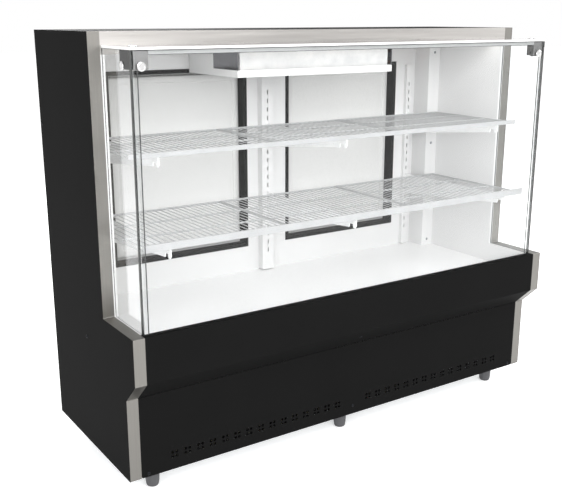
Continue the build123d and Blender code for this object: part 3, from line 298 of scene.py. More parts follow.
# Dark outer sheets: side panels, cover, nose, vent panel, rear skin and door pans
# Steel sheet, sheared, punched and folded, then powder-coated black with a fine texture. The
# sheets are screwed to the tray and foamed to the liner.
def baked_coat(name, colour, roughness, specular, grain_mm, grain_height_mm, mottle):
    """Baked coat on sheet: fine bumps, a faint change of tone and a long ripple of the sheet."""
    ripple_mm = 260
    ripple_height_mm = 2
    made, tree = new_material(name)
    place = add(tree, "ShaderNodeTexCoord").outputs["Object"]
    grain = add(tree, "ShaderNodeTexNoise", {"Vector": place, "Scale": 1 / (grain_mm * mm),
                "Detail": 3.0, "Roughness": 0.6})
    ripple = add(tree, "ShaderNodeTexNoise", {"Vector": place, "Scale": 1 / (ripple_mm * mm),
                 "Detail": 2.0})
    slow = add(tree, "ShaderNodeBump", {"Height": ripple, "Strength": 0.12,
               "Distance": ripple_height_mm * mm})
    bump = add(tree, "ShaderNodeBump", {"Height": grain, "Strength": 0.6,
               "Distance": grain_height_mm * mm, "Normal": slow})
    skin = varied(tree, colour, ripple, 1 - mottle, 1 + mottle, roughness, grain, 0.3, 0.7, 0.05)
    body = add(tree, "ShaderNodeBsdfPrincipled", {**skin, "Specular IOR Level": specular,
               "Normal": bump})
    add(tree, "ShaderNodeOutputMaterial", {"Surface": body})
    return made


# black powder coat: a soft even sheen with no mirror image
black_powder = baked_coat("black powder coat", "#161616", 0.66, 0.02, 1.4, 0.05, 0.12)
finish_nodes(black_powder, "side_panel_left", "side_panel_right", "nose_panel", "vent_panel",
             "rear_panel", "rear_grille", "rear_door_left", "rear_door_right", "top_cover")


# Stainless trims and fascia
# Folded 1.5 mm stainless sheet, brushed along its length before folding. The trims cap the side
# panels' front edges and the fascia closes the front of the roof.
def brushed_steel(name, colour, run, brush_mm, stroke_mm, roughness):
    """Brushed metal: long fine strokes along one axis that stretch its highlights."""
    stroke_depth_mm = 0.1
    made, tree = new_material(name)
    place = add(tree, "ShaderNodeTexCoord").outputs["Object"]
    scale = tuple(1 / ((stroke_mm if axis == run else brush_mm) * mm) for axis in "XYZ")
    stretched = add(tree, "ShaderNodeMapping", {"Vector": place, "Scale": scale})
    strokes = add(tree, "ShaderNodeTexNoise", {"Vector": stretched, "Scale": 1.0, "Detail": 4.0,
                  "Roughness": 0.65})
    bump = add(tree, "ShaderNodeBump", {"Height": strokes, "Strength": 0.25,
               "Distance": stroke_depth_mm * mm})
    skin = varied(tree, colour, strokes, 0.86, 1.12, roughness, strokes, 0.25, 0.75, 0.08)
    body = add(tree, "ShaderNodeBsdfPrincipled", {**skin, "Metallic": 1.0, "Anisotropic": 0.4,
               "Normal": bump})
    add(tree, "ShaderNodeOutputMaterial", {"Surface": body})
    return made


# stainless brushed upright, on the trims: warm grey, darkened as painted shade, its strokes drawn
# 3 mm wide so they show
shade_painted_trim_steel = brushed_steel("upright brushed stainless", "#7F7D79", "Z", 3, 180, 0.38)
finish_nodes(shade_painted_trim_steel, "edge_trim_left", "edge_trim_right")
# stainless brushed along the case, on the fascia: clearly paler than the trims, as painted light
light_painted_fascia_steel = brushed_steel("long brushed stainless", "#B0ADAA", "X", 3, 240, 0.34)
finish_nodes(light_painted_fascia_steel, "top_fascia")


# Inner tub: liners, deck tray, corner duct, evaporator cover and foam
# Steel sheet in baked white enamel, folded and riveted into a tub before foaming. The deck tray
# is a little glossier because it is wiped every day.
white_enamel = baked_coat("white enamel", "#E2E2E2", 0.36, 0.4, 2.2, 0.002, 0.012)
finish_nodes(white_enamel, "side_liner_left", "side_liner_right", "inner_liner", "corner_duct",
             "evaporator_cover")
# the deck's enamel is paler than the walls': painted light where the deck faces up into the lamps
light_painted_deck_enamel = baked_coat("white deck enamel", "#FAFAFA", 0.30, 0.5, 2.2, 0.006, 0.01)
finish_nodes(light_painted_deck_enamel, "deck_tray")
# rigid foam between the skins: creamy, matt, full of 3 mm cells where it shows at all
rigid_foam = baked_coat("rigid polyurethane foam", "#D9CBA0", 0.9, 0.2, 3.0, 0.3, 0.08)
finish_nodes(rigid_foam, "cabinet_foam")


# Evaporator: fin coil, tubes, end plates, fan and motor
# Copper tubes are expanded into a pack of corrugated aluminium fins. Polished stainless plates
# close the ends of the coil, and the fan below the plenum is moulded in black plastic.
def node_group(name, sizes):
    """A geometry tree with named inputs, each given as its socket type."""
    group = bpy.data.node_groups.new(name, "GeometryNodeTree")
    for label, kind in sizes.items():
        group.interface.new_socket(label, in_out="INPUT", socket_type="NodeSocket" + kind)
    group.interface.new_socket("Geometry", in_out="OUTPUT", socket_type="NodeSocketGeometry")
    given = add(group, "NodeGroupInput").outputs
    return group, [given[label] for label in sizes]


def close_group(group, geometries, material):
    """Joins the parts, makes instances real and sets the material."""
    joined = add(group, "GeometryNodeJoinGeometry", {"Geometry": geometries})
    real = add(group, "GeometryNodeRealizeInstances", {"Geometry": joined})
    dressed = add(group, "GeometryNodeSetMaterial", {"Geometry": real, "Material": material})
    add(group, "NodeGroupOutput", {"Geometry": dressed})


def evaluated_mesh(piece):
    """A piece's mesh with its modifiers applied."""
    return bpy.data.meshes.new_from_object(
        piece.evaluated_get(bpy.context.evaluated_depsgraph_get()))


def grown(name, group, values, seed_mesh=None, place=(0, 0, 0)):
    """Runs a geometry tree with named values and leaves its plain mesh at a place."""
    seed = bpy.data.objects.new(name + "_seed", seed_mesh or bpy.data.meshes.new(name + "_seed"))
    bpy.context.scene.collection.objects.link(seed)
    modifier = seed.modifiers.new("grow", "NODES")
    modifier.node_group = group
    for item in group.interface.items_tree:
        if item.name in values:
            modifier[item.identifier] = values[item.name]
    mesh = evaluated_mesh(seed)
    seed.modifiers.remove(modifier)
    bpy.data.objects.remove(seed)
    mesh.transform(Matrix.Translation(Vector(place)))
    made = bpy.data.objects.new(name, mesh)
    bpy.context.scene.collection.objects.link(made)
    return made


def row_of(group, piece, count, step, start=(0, 0, 0)):
    """Repeats a piece along a row."""
    row = add(group, "GeometryNodeMeshLine", {"Count": count, "Start Location": start,
              "Offset": step})
    return add(group, "GeometryNodeInstanceOnPoints", {"Points": row, "Instance": piece})


def round_bar(group, run, radius):
    """A straight round bar from the origin to the end of its run."""
    sides = 8
    line = add(group, "GeometryNodeCurvePrimitiveLine", {"Start": (0, 0, 0), "End": run})
    ring = add(group, "GeometryNodeCurvePrimitiveCircle", {"Radius": radius, "Resolution": sides})
    return add(group, "GeometryNodeCurveToMesh", {"Curve": line, "Profile Curve": ring,
               "Fill Caps": True})


def cloudy_tone(tree, patch_mm, dark, light):
    """A colour that drifts between two tones in soft patches."""
    place = add(tree, "ShaderNodeTexCoord").outputs["Object"]
    patches = add(tree, "ShaderNodeTexNoise", {"Vector": place, "Scale": 1 / (patch_mm * mm),
                  "Detail": 3.0})
    tone = add(tree, "ShaderNodeValToRGB", {"Fac": patches})
    for stop, (share, colour) in zip(tone.color_ramp.elements, ((0.3, dark), (0.7, light))):
        stop.position = share
        stop.color = linear(colour)
    return tone


# fin stock with a pale water-shedding coat: nearly white and satin, with faint cloudy patches
fin_stock, tree = new_material("coated aluminium fin stock")
body = add(tree, "ShaderNodeBsdfPrincipled", {"Metallic": 0.1, "Roughness": 0.5,
           "Base Color": cloudy_tone(tree, 30, "#F0F1F2", "#FFFFFF")})
add(tree, "ShaderNodeOutputMaterial", {"Surface": body})

# fins: flat plates side by side, each waved from front to rear
fin_wave_run = 20 * mm
group, (fin_size, wave, fins, start, step) = node_group("fin pack", {
    "Fin Size": "Vector", "Wave": "Float", "Fins": "Int", "Start": "Vector", "Step": "Vector"})
fin = add(group, "GeometryNodeMeshCube", {"Size": fin_size, "Vertices X": 2, "Vertices Y": 15,
          "Vertices Z": 2})
here = add(group, "ShaderNodeSeparateXYZ", {
    "Vector": add(group, "GeometryNodeInputPosition")}).outputs
turn = add(group, "ShaderNodeMath", {0: here["Y"], 1: 2 * math.pi / fin_wave_run},
           operation="MULTIPLY")
sway = add(group, "ShaderNodeMath", {0: turn}, operation="SINE")
swing = add(group, "ShaderNodeMath", {0: sway, 1: wave}, operation="MULTIPLY")
waved = add(group, "GeometryNodeSetPosition", {"Geometry": fin,
            "Offset": add(group, "ShaderNodeCombineXYZ", {"X": swing})})
close_group(group, [row_of(group, waved, fins, step, start)], fin_stock)
fin_count = 150
pack_length = 540 * mm
coil_centre = Vector(middle("evaporator_coil"))
coil_fins = grown("evaporator_fins", group, {
    "Fin Size": (1.4 * mm, 128 * mm, 78.5 * mm), "Wave": 0.8 * mm, "Fins": fin_count,
    "Start": (-pack_length / 2, 0.0, 0.0), "Step": (pack_length / (fin_count - 1), 0.0, 0.0)},
    place=coil_centre * mm)
fitted(coil_fins, "cabinet", "evaporator_coil")

# drawn copper tube: warm and fairly bright, slightly dulled by air
copper = brushed_steel("drawn copper tube", "#B87352", "Z", 3, 60, 0.30)
finish_nodes(copper, "refrigerant_pipes")

# hairpins: each row is one long tube, bent back at both ends of the fin pack
tube_half_length = 266
tube_radius = 4.5
tube_pitch = 34
tube_columns = 4
tube_rows = 2
bend_reach = 8
bend_steps = 8
upward = Vector((0, 0, 1))
shape = bmesh.new()
for row in range(tube_rows):
    height = (row - (tube_rows - 1) / 2) * tube_pitch
    path = []
    for column in range(tube_columns):
        offset = (column - (tube_columns - 1) / 2) * tube_pitch
        end = 1 if column % 2 == 0 else -1
        path += [Vector((-end * tube_half_length, offset, height)),
                 Vector((end * tube_half_length, offset, height))]
        if column + 1 < tube_columns:
            for angle in (math.pi * step / bend_steps for step in range(1, bend_steps)):
                path.append(Vector((end * (tube_half_length + bend_reach * math.sin(angle)),
                                    offset + tube_pitch / 2 * (1 - math.cos(angle)), height)))
    loops = []
    for place, point in enumerate(path):
        direction = path[min(place + 1, len(path) - 1)] - path[max(place - 1, 0)]
        across = direction.cross(upward).normalized()
        loops.append([(coil_centre + point + x * across + y * upward) * mm
                      for x, y in circle(tube_radius, 10)])
    loft(shape, loops)
tubes = made_object("evaporator_tubes", shape, copper)
fitted(tubes, "cabinet")

# polished stainless: rolled bands 20 mm wide run along it and break its reflection
polished_steel = brushed_steel("rolled polished stainless", "#8C8C90", "Y", 20, 400, 0.18)
finish_nodes(polished_steel, "evaporator_end_plates")
# moulded black plastic, on fans, switches and pulls: satin with a fine spark grain
black_plastic = moulded_plastic("moulded black plastic", "#1B1B1C", 0.42, 0.45, 0.9, 0.03)
# zinc-plated steel, on brackets and motor cans: bluish silver, faintly streaked
zinc_plate = brushed_steel("zinc-plated steel", "#A9ACAF", "X", 4, 30, 0.40)
finish_nodes(zinc_plate, "hinge_brackets", "evaporator_motor")


def fan_rotor(name, node, body_name, centre, axes, tip_radius, hub_height):
    """A moulded fan: domed hub and five twisted blades with rounded tips."""
    hub_radius = 20
    bore_radius = 3.2
    half_thickness = 1.1
    camber = 0.10
    root_pitch_deg, pitch_loss_deg, lean_deg = 36, 20, 14
    blades = 5
    stations = 9
    chord_points = 12
    shape = bmesh.new()
    hub = ((bore_radius, 0), (hub_radius - 1.2, 0), (hub_radius, 1.2),
           (hub_radius, hub_height - 3), (hub_radius - 3, hub_height - 0.4),
           (hub_radius - 8, hub_height), (bore_radius, hub_height))
    loft(shape, [[(Vector(centre) + axes @ Vector((x, y, height))) * mm
                  for x, y in circle(radius, 40)] for radius, height in hub], closed=True)
    # a blade starts 3 mm inside the hub, widens outwards, flattens and closes in a round tip
    root_radius = hub_radius - 3
    rise_limit = hub_height / 2 - 0.3
    for blade in range(blades):
        loops = []
        for share in (station / (stations - 1) for station in range(stations)):
            radius = root_radius + (tip_radius - root_radius) * share
            rounding = math.sqrt(max(0.12, 1 - share ** 9))
            chord = (0.34 + 0.62 * share ** 0.8) * tip_radius * rounding
            twist = math.radians(root_pitch_deg - pitch_loss_deg * share)
            sweep = math.radians(360 / blades * blade + lean_deg * share)
            loop = []
            for step in range(2 * chord_points):
                side = 1 if step < chord_points else -1
                place = step if side > 0 else 2 * chord_points - 1 - step
                along = place / (chord_points - 1) - 0.5
                bulge = side * half_thickness * math.sqrt(max(0.0, 1 - (2 * along) ** 2))
                bulge += camber * chord * (0.25 - along ** 2)
                flat = along * chord * math.cos(twist) - bulge * math.sin(twist)
                rise = along * chord * math.sin(twist) + bulge * math.cos(twist)
                rise = max(-rise_limit, min(rise_limit, rise))
                angle = sweep + flat / radius
                loop.append((Vector(centre) + axes @ Vector((
                    radius * math.cos(angle), radius * math.sin(angle),
                    hub_height / 2 + rise))) * mm)
            loops.append(loop)
        loft(shape, loops)
    fitted(made_object(name, shape, black_plastic), body_name, node)


fan_rotor("evaporator_blades", "evaporator_fan", "evaporator_rotor", (0, 166.6, 1107.5),
          Matrix.Identity(3), 60, 16)


# Lamp under the fascia
# A frosted plastic diffuser clipped over a strip of white lights, hidden from the shopper by the
# fascia's return.
light_spacing_mm = 118.4
wave_turn = 2 * math.pi / 20  # the wave texture's own length at a scale of 1
# frosted diffuser: glows softly, a little brighter below each light
frosted, tree = new_material("frosted diffuser")
place = add(tree, "ShaderNodeTexCoord").outputs["Object"]
spread = add(tree, "ShaderNodeTexWave", {"Vector": place, "Distortion": 0.0,
             "Scale": wave_turn / (light_spacing_mm * mm)}, bands_direction="X").outputs["Fac"]
glow = add(tree, "ShaderNodeMapRange", {"Value": spread, "To Min": 2.2, "To Max": 2.8})
body = add(tree, "ShaderNodeBsdfPrincipled", {"Base Color": linear("#FBFBF8"), "Roughness": 0.45,
           "Emission Color": linear("#FFFDF8"), "Emission Strength": glow})
add(tree, "ShaderNodeOutputMaterial", {"Surface": body})
finish_nodes(frosted, "led_lamp")


# Shelf uprights, arms and wire shelves
# Punched steel uprights carry hooked plate arms. The shelves are spot-welded wire panels dipped
# in white plastic, each with a rolled strip along its front.
finish_nodes(white_enamel, "shelf_uprights")
# plastic-coated wire: glossy white with soft rounded highlights
wire_coat = moulded_plastic("white dipped plastic coat", "#FAFBFC", 0.30, 0.5, 3.0, 0.02)
# the same coat on the rolled strip, made a shade greyer: painted shade on the strip's front
shade_painted_strip_coat = moulded_plastic("white dipped coat on strip", "#B2B3B4", 0.34, 0.4, 3.0, 0.01)

# a shelf panel: fine wires from front to rear, stout ones below across them and round the edge
group, (across, along, under, fine, stout, wires, crosses, wire_step, cross_step) = node_group(
    "wire panel", {"Across": "Vector", "Along": "Vector", "Under": "Vector",
                   "Fine Radius": "Float", "Stout Radius": "Float", "Wires": "Int",
                   "Cross Wires": "Int", "Wire Step": "Vector", "Cross Step": "Vector"})
cross_wire = round_bar(group, across, stout)
close_group(group, [
    row_of(group, round_bar(group, along, fine), wires, wire_step),
    row_of(group, cross_wire, crosses, cross_step, under),
    row_of(group, round_bar(group, along, stout), 2, across),
    row_of(group, cross_wire, 2, along),
], wire_coat)


def extruded(shape, profile, x_low, x_high, material_index=0):
    """A bar along X with a closed profile of (y, z) points."""
    loft(shape, [[(x, y, z) for y, z in profile] for x in (x_low, x_high)],
         material_index=material_index)


shelf_panels = 3
panel_gap = 2.5 * mm
wire_gaps = 24
cross_gaps = 3
stout_radius = 2.8 * mm
fine_radius = 1.3 * mm
weld_overlap = 0.35
rim_sheet = 1.2 * mm
rim_hem = 5 * mm
rim_corner = 0.6 * mm
rim_rises = {"lower_shelf": 12 * mm, "upper_shelf": 5 * mm}
for name, rim_rise in rim_rises.items():
    low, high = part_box(name)
    span = (high[0] - low[0]) / shelf_panels
    run_x = span - panel_gap - 2 * stout_radius
    run_y = high[1] - low[1] - rim_sheet - 2 * stout_radius
    sizes = {"Across": (run_x, 0.0, 0.0), "Along": (0.0, run_y, 0.0),
             "Under": (0.0, 0.0, -weld_overlap * (fine_radius + stout_radius)),
             "Fine Radius": fine_radius, "Stout Radius": stout_radius,
             "Wires": wire_gaps + 1, "Wire Step": (run_x / wire_gaps, 0.0, 0.0),
             "Cross Wires": cross_gaps + 1, "Cross Step": (0.0, run_y / cross_gaps, 0.0)}
    shape = bmesh.new()
    for place in range(shelf_panels):
        panel = grown(f"{name}_panel", group, sizes, place=(
            low[0] + place * span + panel_gap / 2 + stout_radius,
            low[1] + rim_sheet + stout_radius, high[2] - rim_rise - stout_radius))
        shape.from_mesh(panel.data)
        bpy.data.objects.remove(panel)
    front, back, bottom, top = low[1], low[1] + rim_hem, low[2], high[2]
    extruded(shape, ((back, top), (front + rim_corner, top), (front, top - rim_corner),
                     (front, bottom + rim_corner), (front + rim_corner, bottom), (back, bottom),
                     (back, bottom + rim_sheet), (front + rim_sheet, bottom + rim_sheet),
                     (front + rim_sheet, top - rim_sheet), (back, top - rim_sheet)),
             low[0], high[0], material_index=1)
    # the rolled strip wears the greyer coat, which is painted shade
    shelf = made_object(name.replace("shelf", "wire_shelf"), shape, wire_coat, shade_painted_strip_coat)
    fitted(shelf, "cabinet", name)

# arms: 3 mm plate that tapers to a notched tip behind the shelf's strip, with two hooks at the
# root that stand in the nearest slots of the upright
arm_half = 1.5
arm_root_depth = 74
slot_pitch = 28
uprights_z = middle("shelf_uprights")[2]
shape = bmesh.new()
for front_y, top_z in ((-261, 696), (-209, 925)):
    for arm_x, root_y in ((-612, 232), (-12, 219), (612, 232)):
        arm = ((root_y, 0), (root_y, -arm_root_depth), (root_y - 12, -arm_root_depth),
               (front_y + 60, -33), (front_y + 34, -31), (front_y + 31, -19),
               (front_y + 16, -19), (front_y + 13, -30), (front_y + 5, -30), (front_y, -24),
               (front_y, 0))
        outlines = [[(y, top_z + z) for y, z in arm]]
        slot = round((top_z - arm_root_depth / 2 - uprights_z) / slot_pitch)
        for hook_z in (uprights_z + slot * slot_pitch, uprights_z + (slot + 1) * slot_pitch):
            outlines.append([(root_y + y, hook_z + z) for y, z in (
                (-1, 4.5), (-1, -4.5), (5, -4.5), (5, -1), (3, 4.5))])
        for outline in outlines:
            loft(shape, [[Vector((arm_x + side * arm_half, y, z)) * mm for y, z in outline]
                         for side in (-1, 1)])
arms = made_object("hooked_arms", shape, wire_coat)
fitted(arms, "cabinet", "shelf_arms")


# Glass: front, top and side panes in the nose channel
# Clear 6 mm toughened panes with ground edges. They stand in a black plastic channel and are
# bonded along the corners inside a slim clear profile.
channel_plastic = moulded_plastic("extruded black plastic", "#080808", 0.5, 0.15, 1.2, 0.02)
finish_nodes(channel_plastic, "glass_channel")


def clear_material(name, colour, roughness, ior, reflection, smear_mm):
    """A clear solid with a faint smear in its polish and softened reflections. Light from the
    lamps and from nearby surfaces passes it."""
    made, tree = new_material(name)
    place = add(tree, "ShaderNodeTexCoord").outputs["Object"]
    smear = add(tree, "ShaderNodeTexNoise", {"Vector": place, "Scale": 1 / (smear_mm * mm),
                "Detail": 2.0})
    rough = add(tree, "ShaderNodeMapRange", {"Value": smear, "From Min": 0.45, "From Max": 0.75,
                "To Min": roughness, "To Max": roughness + 0.02})
    body = add(tree, "ShaderNodeBsdfPrincipled", {"Base Color": linear(colour),
               "Roughness": rough, "IOR": ior, "Transmission Weight": 1.0,
               "Specular IOR Level": reflection, "Specular Tint": linear("#8C8C8C")})
    clear = add(tree, "ShaderNodeBsdfTransparent", {"Color": linear("#FDFDFD")})
    ray = add(tree, "ShaderNodeLightPath").outputs
    passing = add(tree, "ShaderNodeMath", {0: ray["Is Shadow Ray"], 1: ray["Is Diffuse Ray"]},
                  operation="MAXIMUM")
    shown = add(tree, "ShaderNodeMixShader", {0: passing, 1: body, 2: clear})
    add(tree, "ShaderNodeOutputMaterial", {"Surface": shown})
    return made


def ground_edge(name, dark, light, roughness):
    """The ground and polished edge of a clear piece, given an opaque tone in place of the light it
    gathers from within it: painted shade where dark, a painted highlight where bright.
    """
    made, tree = new_material(name)
    body = add(tree, "ShaderNodeBsdfPrincipled", {"Roughness": roughness, "IOR": 1.5,
               "Base Color": cloudy_tone(tree, 120, dark, light)})
    add(tree, "ShaderNodeOutputMaterial", {"Surface": body})
    return made


# toughened float glass, flat faces: nearly colourless, with one crisp, weak reflection
float_glass = clear_material("clear float glass", "#FEFFFF", 0.0, 1.5, 0.2, 90)
# upright edges are painted nearly black, a painted reflection of the dark sheets they gather; the
# top pane's edges are painted white, a painted highlight of the lamp they catch
shade_painted_edge = ground_edge("ground glass edge, upright", "#1C1E1E", "#2E3130", 0.25)
highlight_painted_edge = ground_edge("ground glass edge, lit", "#F4F4F2", "#FFFFFF", 0.35)

bond_line = 0.3 * mm
arris = 0.8 * mm
hole_radius = 4.5 * mm
drill_length = 20 * mm


def cut_away(piece, cutter):
    """The mesh of a piece less a cutter, which is used up."""
    cut = piece.modifiers.new("cut", "BOOLEAN")
    cut.operation = "DIFFERENCE"
    cut.solver = "EXACT"
    cut.object = cutter
    mesh = evaluated_mesh(piece)
    piece.modifiers.remove(cut)
    bpy.data.objects.remove(cutter)
    return mesh


def pane(name, node, edge, hole_places, hole_direction, low_seam=(0, 0, 0), high_seam=(0, 0, 0)):
    """A pane with an arris along every edge, holes for its connectors and bonded seams."""
    low, high = (Vector(corner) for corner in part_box(node))
    low += bond_line * Vector(low_seam)
    high -= bond_line * Vector(high_seam)
    size = high - low
    thin = min(range(3), key=lambda axis: size[axis])
    shape = bmesh.new()
    bmesh.ops.create_cube(shape, size=1)
    bmesh.ops.scale(shape, vec=size, verts=shape.verts)
    bmesh.ops.translate(shape, vec=(high + low) / 2, verts=shape.verts)
    bmesh.ops.bevel(shape, geom=shape.edges[:], offset=arris, segments=1, affect="EDGES")
    for face in shape.faces:
        face.material_index = 0 if abs(face.normal[thin]) > 0.99 else 1
    made = made_object(name, shape, float_glass, edge)
    turn = Vector(hole_direction).to_track_quat("Z", "Y").to_matrix().to_4x4()
    drill = bmesh.new()
    for hole in hole_places:
        bmesh.ops.create_cone(drill, cap_ends=True, segments=24, radius1=hole_radius,
                              radius2=hole_radius, depth=drill_length,
                              matrix=Matrix.Translation(Vector(hole) * mm) @ turn)
    made.data = cut_away(made, made_object(name + "_drill", drill, edge))
    for polygon in made.data.polygons:
        polygon.use_smooth = False
    fitted(made, "cabinet", node)


# the middle of each pane's thickness, and the holes for the corner connectors
front_y, top_z, side_x = -291, 1193, 710
hole_z = 1152
front_hole_x, side_hole_y = 686, -244
top_hole_x, top_hole_y = 690, -258
pane("front_pane", "front_glass", shade_painted_edge,
     [(side * front_hole_x, front_y, hole_z) for side in (-1, 1)], (0, 1, 0),
     high_seam=(0, 0, 1))
pane("top_pane", "top_glass", highlight_painted_edge,
     [(side * top_hole_x, top_hole_y, top_z) for side in (-1, 1)], (0, 0, 1))
for side, end in ((-1, "left"), (1, "right")):
    pane(f"{end}_side_pane", f"side_glass_{end}", shade_painted_edge,
         [(side * side_x, side_hole_y, hole_z)], (1, 0, 0), low_seam=(0, 1, 0),
         high_seam=(0, 1, 1))

# extruded clear plastic along the inner corners: bright faces, with a dark line of painted shade
# at each edge
clear_plastic = clear_material("extruded clear plastic", "#F4F5F5", 0.03, 1.46, 0.3, 40)
shade_painted_profile_edge = ground_edge("cut edge of clear plastic", "#222424", "#3A3C3C", 0.4)
# pale strip that bonds the top pane to the front one: an even light grey line
bond_strip = moulded_plastic("pale bonding strip", "#A6A8A8", 0.35, 0.4, 4, 0.01)
leg = 11
wall = 1.6
bead = 2.6
toe = 4
inner_x, inner_y, inner_z = 707, -288, 1190
upright_low, upright_high = 489.5, 1143.5
rail_half = 665.5
shape = bmesh.new()
for side in (-1, 1):
    corner = ((inner_x, inner_y), (inner_x - leg, inner_y), (inner_x - leg, inner_y + wall),
              (inner_x - wall, inner_y + wall), (inner_x - wall, inner_y + toe),
              (inner_x, inner_y + toe))
    lip = ((inner_x - leg, inner_y), (inner_x - leg - bead, inner_y),
           (inner_x - leg - bead, inner_y + wall), (inner_x - leg, inner_y + wall))
    for outline, index in ((corner, 0), (lip, 1)):
        loft(shape, [[Vector((side * x, y, z)) * mm for x, y in outline]
                     for z in (upright_low, upright_high)], material_index=index)
for low_z, high_z, index in ((inner_z - leg, inner_z, 2),
                             (inner_z - leg - bead / 2, inner_z - leg, 1)):
    rail = ((inner_y, high_z), (inner_y, low_z), (inner_y + wall, low_z), (inner_y + wall, high_z))
    extruded(shape, [(y * mm, z * mm) for y, z in rail], -rail_half * mm, rail_half * mm,
             material_index=index)
corner_profile = made_object("corner_profiles", shape, clear_plastic, shade_painted_profile_edge, bond_strip)
fitted(corner_profile, "cabinet")


# Glass corner connectors
# Pressed stainless angle plates inside each top corner. Turned, polished discs on the outside
# are drawn against them by studs through the glass.
lathe_mm = 2
# turned stainless: bright, with a mirror image that the lathe's marks break a little
bright_disc, tree = new_material("turned polished stainless")
place = add(tree, "ShaderNodeTexCoord").outputs["Object"]
lathe = add(tree, "ShaderNodeTexNoise", {"Vector": place, "Scale": 1 / (lathe_mm * mm),
            "Detail": 2.0})
rough = add(tree, "ShaderNodeMapRange", {"Value": lathe, "To Min": 0.08, "To Max": 0.2})
body = add(tree, "ShaderNodeBsdfPrincipled", {"Base Color": linear("#D8D8D8"), "Metallic": 1.0,
           "Roughness": rough})
add(tree, "ShaderNodeOutputMaterial", {"Surface": body})
# pressed plate: satin, darker than the discs because it stands in the corner's shade
satin_plate = brushed_steel("satin stainless plate", "#7A7A7A", "Z", 2, 30, 0.35)


def rounded_outline(width, height, radius, turns=5):
    """Points round a rectangle with rounded corners, about its middle."""
    points = []
    for corner, (across, up) in enumerate(((1, 1), (-1, 1), (-1, -1), (1, -1))):
        for step in range(turns + 1):
            angle = math.pi / 2 * (corner + step / turns)
            points.append((across * (width / 2 - radius) + radius * math.cos(angle),
                           up * (height / 2 - radius) + radius * math.sin(angle)))
    return points


def disc(shape, centre, outward):
    """A turned disc with a rounded rim, a shallow dish and its stud."""
    turn = Vector(outward).to_track_quat("Z", "Y").to_matrix()
    profile = ((4, -9), (4, 0), (11.2, 0), (11.5, 0.4), (11.5, 1.9), (10.9, 2.7), (9.8, 3.0),
               (7.2, 3.0), (6.6, 2.6), (0.4, 2.6))
    loft(shape, [[(Vector(centre) + turn @ Vector((x, y, height))) * mm
                  for x, y in circle(radius, 36)] for radius, height in profile])


pane_half = 3
plate_half = 1.5
plate_edge = 0.4
plate_corner = 3
plate_loops = ((-plate_half, plate_edge), (-plate_half + plate_edge, 0),
               (plate_half - plate_edge, 0), (plate_half, plate_edge))
shape = bmesh.new()
for side in (-1, 1):
    disc(shape, (side * front_hole_x, front_y - pane_half, hole_z), (0, -1, 0))
    disc(shape, (side * (side_x + pane_half), side_hole_y, hole_z), (side, 0, 0))
    disc(shape, (side * top_hole_x, top_hole_y, top_z + pane_half), (0, 0, 1))
for side in (-1, 1):
    # one plate behind the front pane, one beside the side pane and one under the top pane
    plates = (((side * 686.5, -286.5, 1167), (41, 46), 0),
              ((side * 705.5, -257.5, 1167), (61, 46), 1),
              ((side * 686.5, -264.5, 1188.5), (41, 47), 2))
    for centre, (width, height), facing in plates:
        loops = []
        for depth, inset in plate_loops:
            outline = rounded_outline(width - 2 * inset, height - 2 * inset, plate_corner)
            loops.append([(Vector(centre) + Vector(
                ((across, depth, up), (depth, across, up), (across, up, depth))[facing])) * mm
                for across, up in outline])
        loft(shape, loops, material_index=1)
connectors = made_object("corner_connectors", shape, bright_disc, satin_plate)
fitted(connectors, "cabinet", "glass_corners")


# Rear doors: frames, liners, gaskets and pulls
# Each door is a black folded pan with a vacuum-formed white liner, foamed together. A soft
# rubber gasket runs round it and a moulded pull is let into its free edge.
def rounded_loft(shape, node, loops, closed=False):
    """Skins rounded rectangles that face the rear, about the middle of a node. Each loop is
    given as its width, height, corner radius and y."""
    centre_x, _, centre_z = middle(node)
    loft(shape, [[Vector((centre_x + x, y, centre_z + z)) * mm
                  for x, z in rounded_outline(width, height, radius)]
                 for width, height, radius, y in loops], closed=closed)


# extruded frame: near-black rigid plastic with a slight sheen
frame_plastic = moulded_plastic("extruded rigid plastic", "#0C0C0C", 0.50, 0.15, 1.2, 0.02)
finish_nodes(frame_plastic, "door_frame_left", "door_frame_right")
# vacuum-formed sheet: glossy warm white, softly waved where it cooled
formed_plastic = baked_coat("vacuum-formed polystyrene", "#D9D9D8", 0.28, 0.4, 3.0, 0.003, 0.012)
liner_loops = ((508.4, 609.4, 1.5, 284.5), (508.4, 609.4, 1.5, 282.6), (507.4, 608.4, 1.5, 282),
               (447, 563, 7, 282), (445, 561, 8, 280.6), (444.6, 560.6, 8, 278.5),
               (442.6, 558.6, 8, 272.5), (439, 555, 8, 269.3), (434, 550, 8, 268),
               (404, 520, 12, 268), (402.6, 518.6, 12, 268.5), (400, 516, 12, 271),
               (398, 514, 12, 271.8), (394, 510, 12, 272))
# soft rubber: near-black and dull, so that its ribs show only as soft lines
soft_rubber = moulded_plastic("soft extruded rubber", "#141414", 0.68, 0.1, 1.5, 0.04)
gasket_width, gasket_height, gasket_corner = 482, 598, 12.5
gasket_profile = ((0, 282), (0, 280.6), (1.2, 279.4), (0.2, 278), (0.6, 276.6), (1.6, 276),
                  (9.4, 276), (10.4, 276.6), (10.8, 278), (9.8, 279.4), (11, 280.6), (11, 282))
gasket_loops = [(gasket_width - 2 * inset, gasket_height - 2 * inset, gasket_corner - inset, y)
                for inset, y in gasket_profile]
pull_loops = ((34, 130, 1.5, 293), (34, 130, 1.5, 310), (48, 144, 7, 310), (48, 144, 7, 311.2),
              (47.2, 143.2, 7, 311.8), (45.6, 141.6, 7, 312), (32, 128, 5, 312),
              (30.4, 126.4, 4.5, 311.5), (29.4, 125.4, 4, 310.2), (28, 122, 4, 299),
              (26.6, 120, 4, 296.6), (23, 116, 4, 295.5))
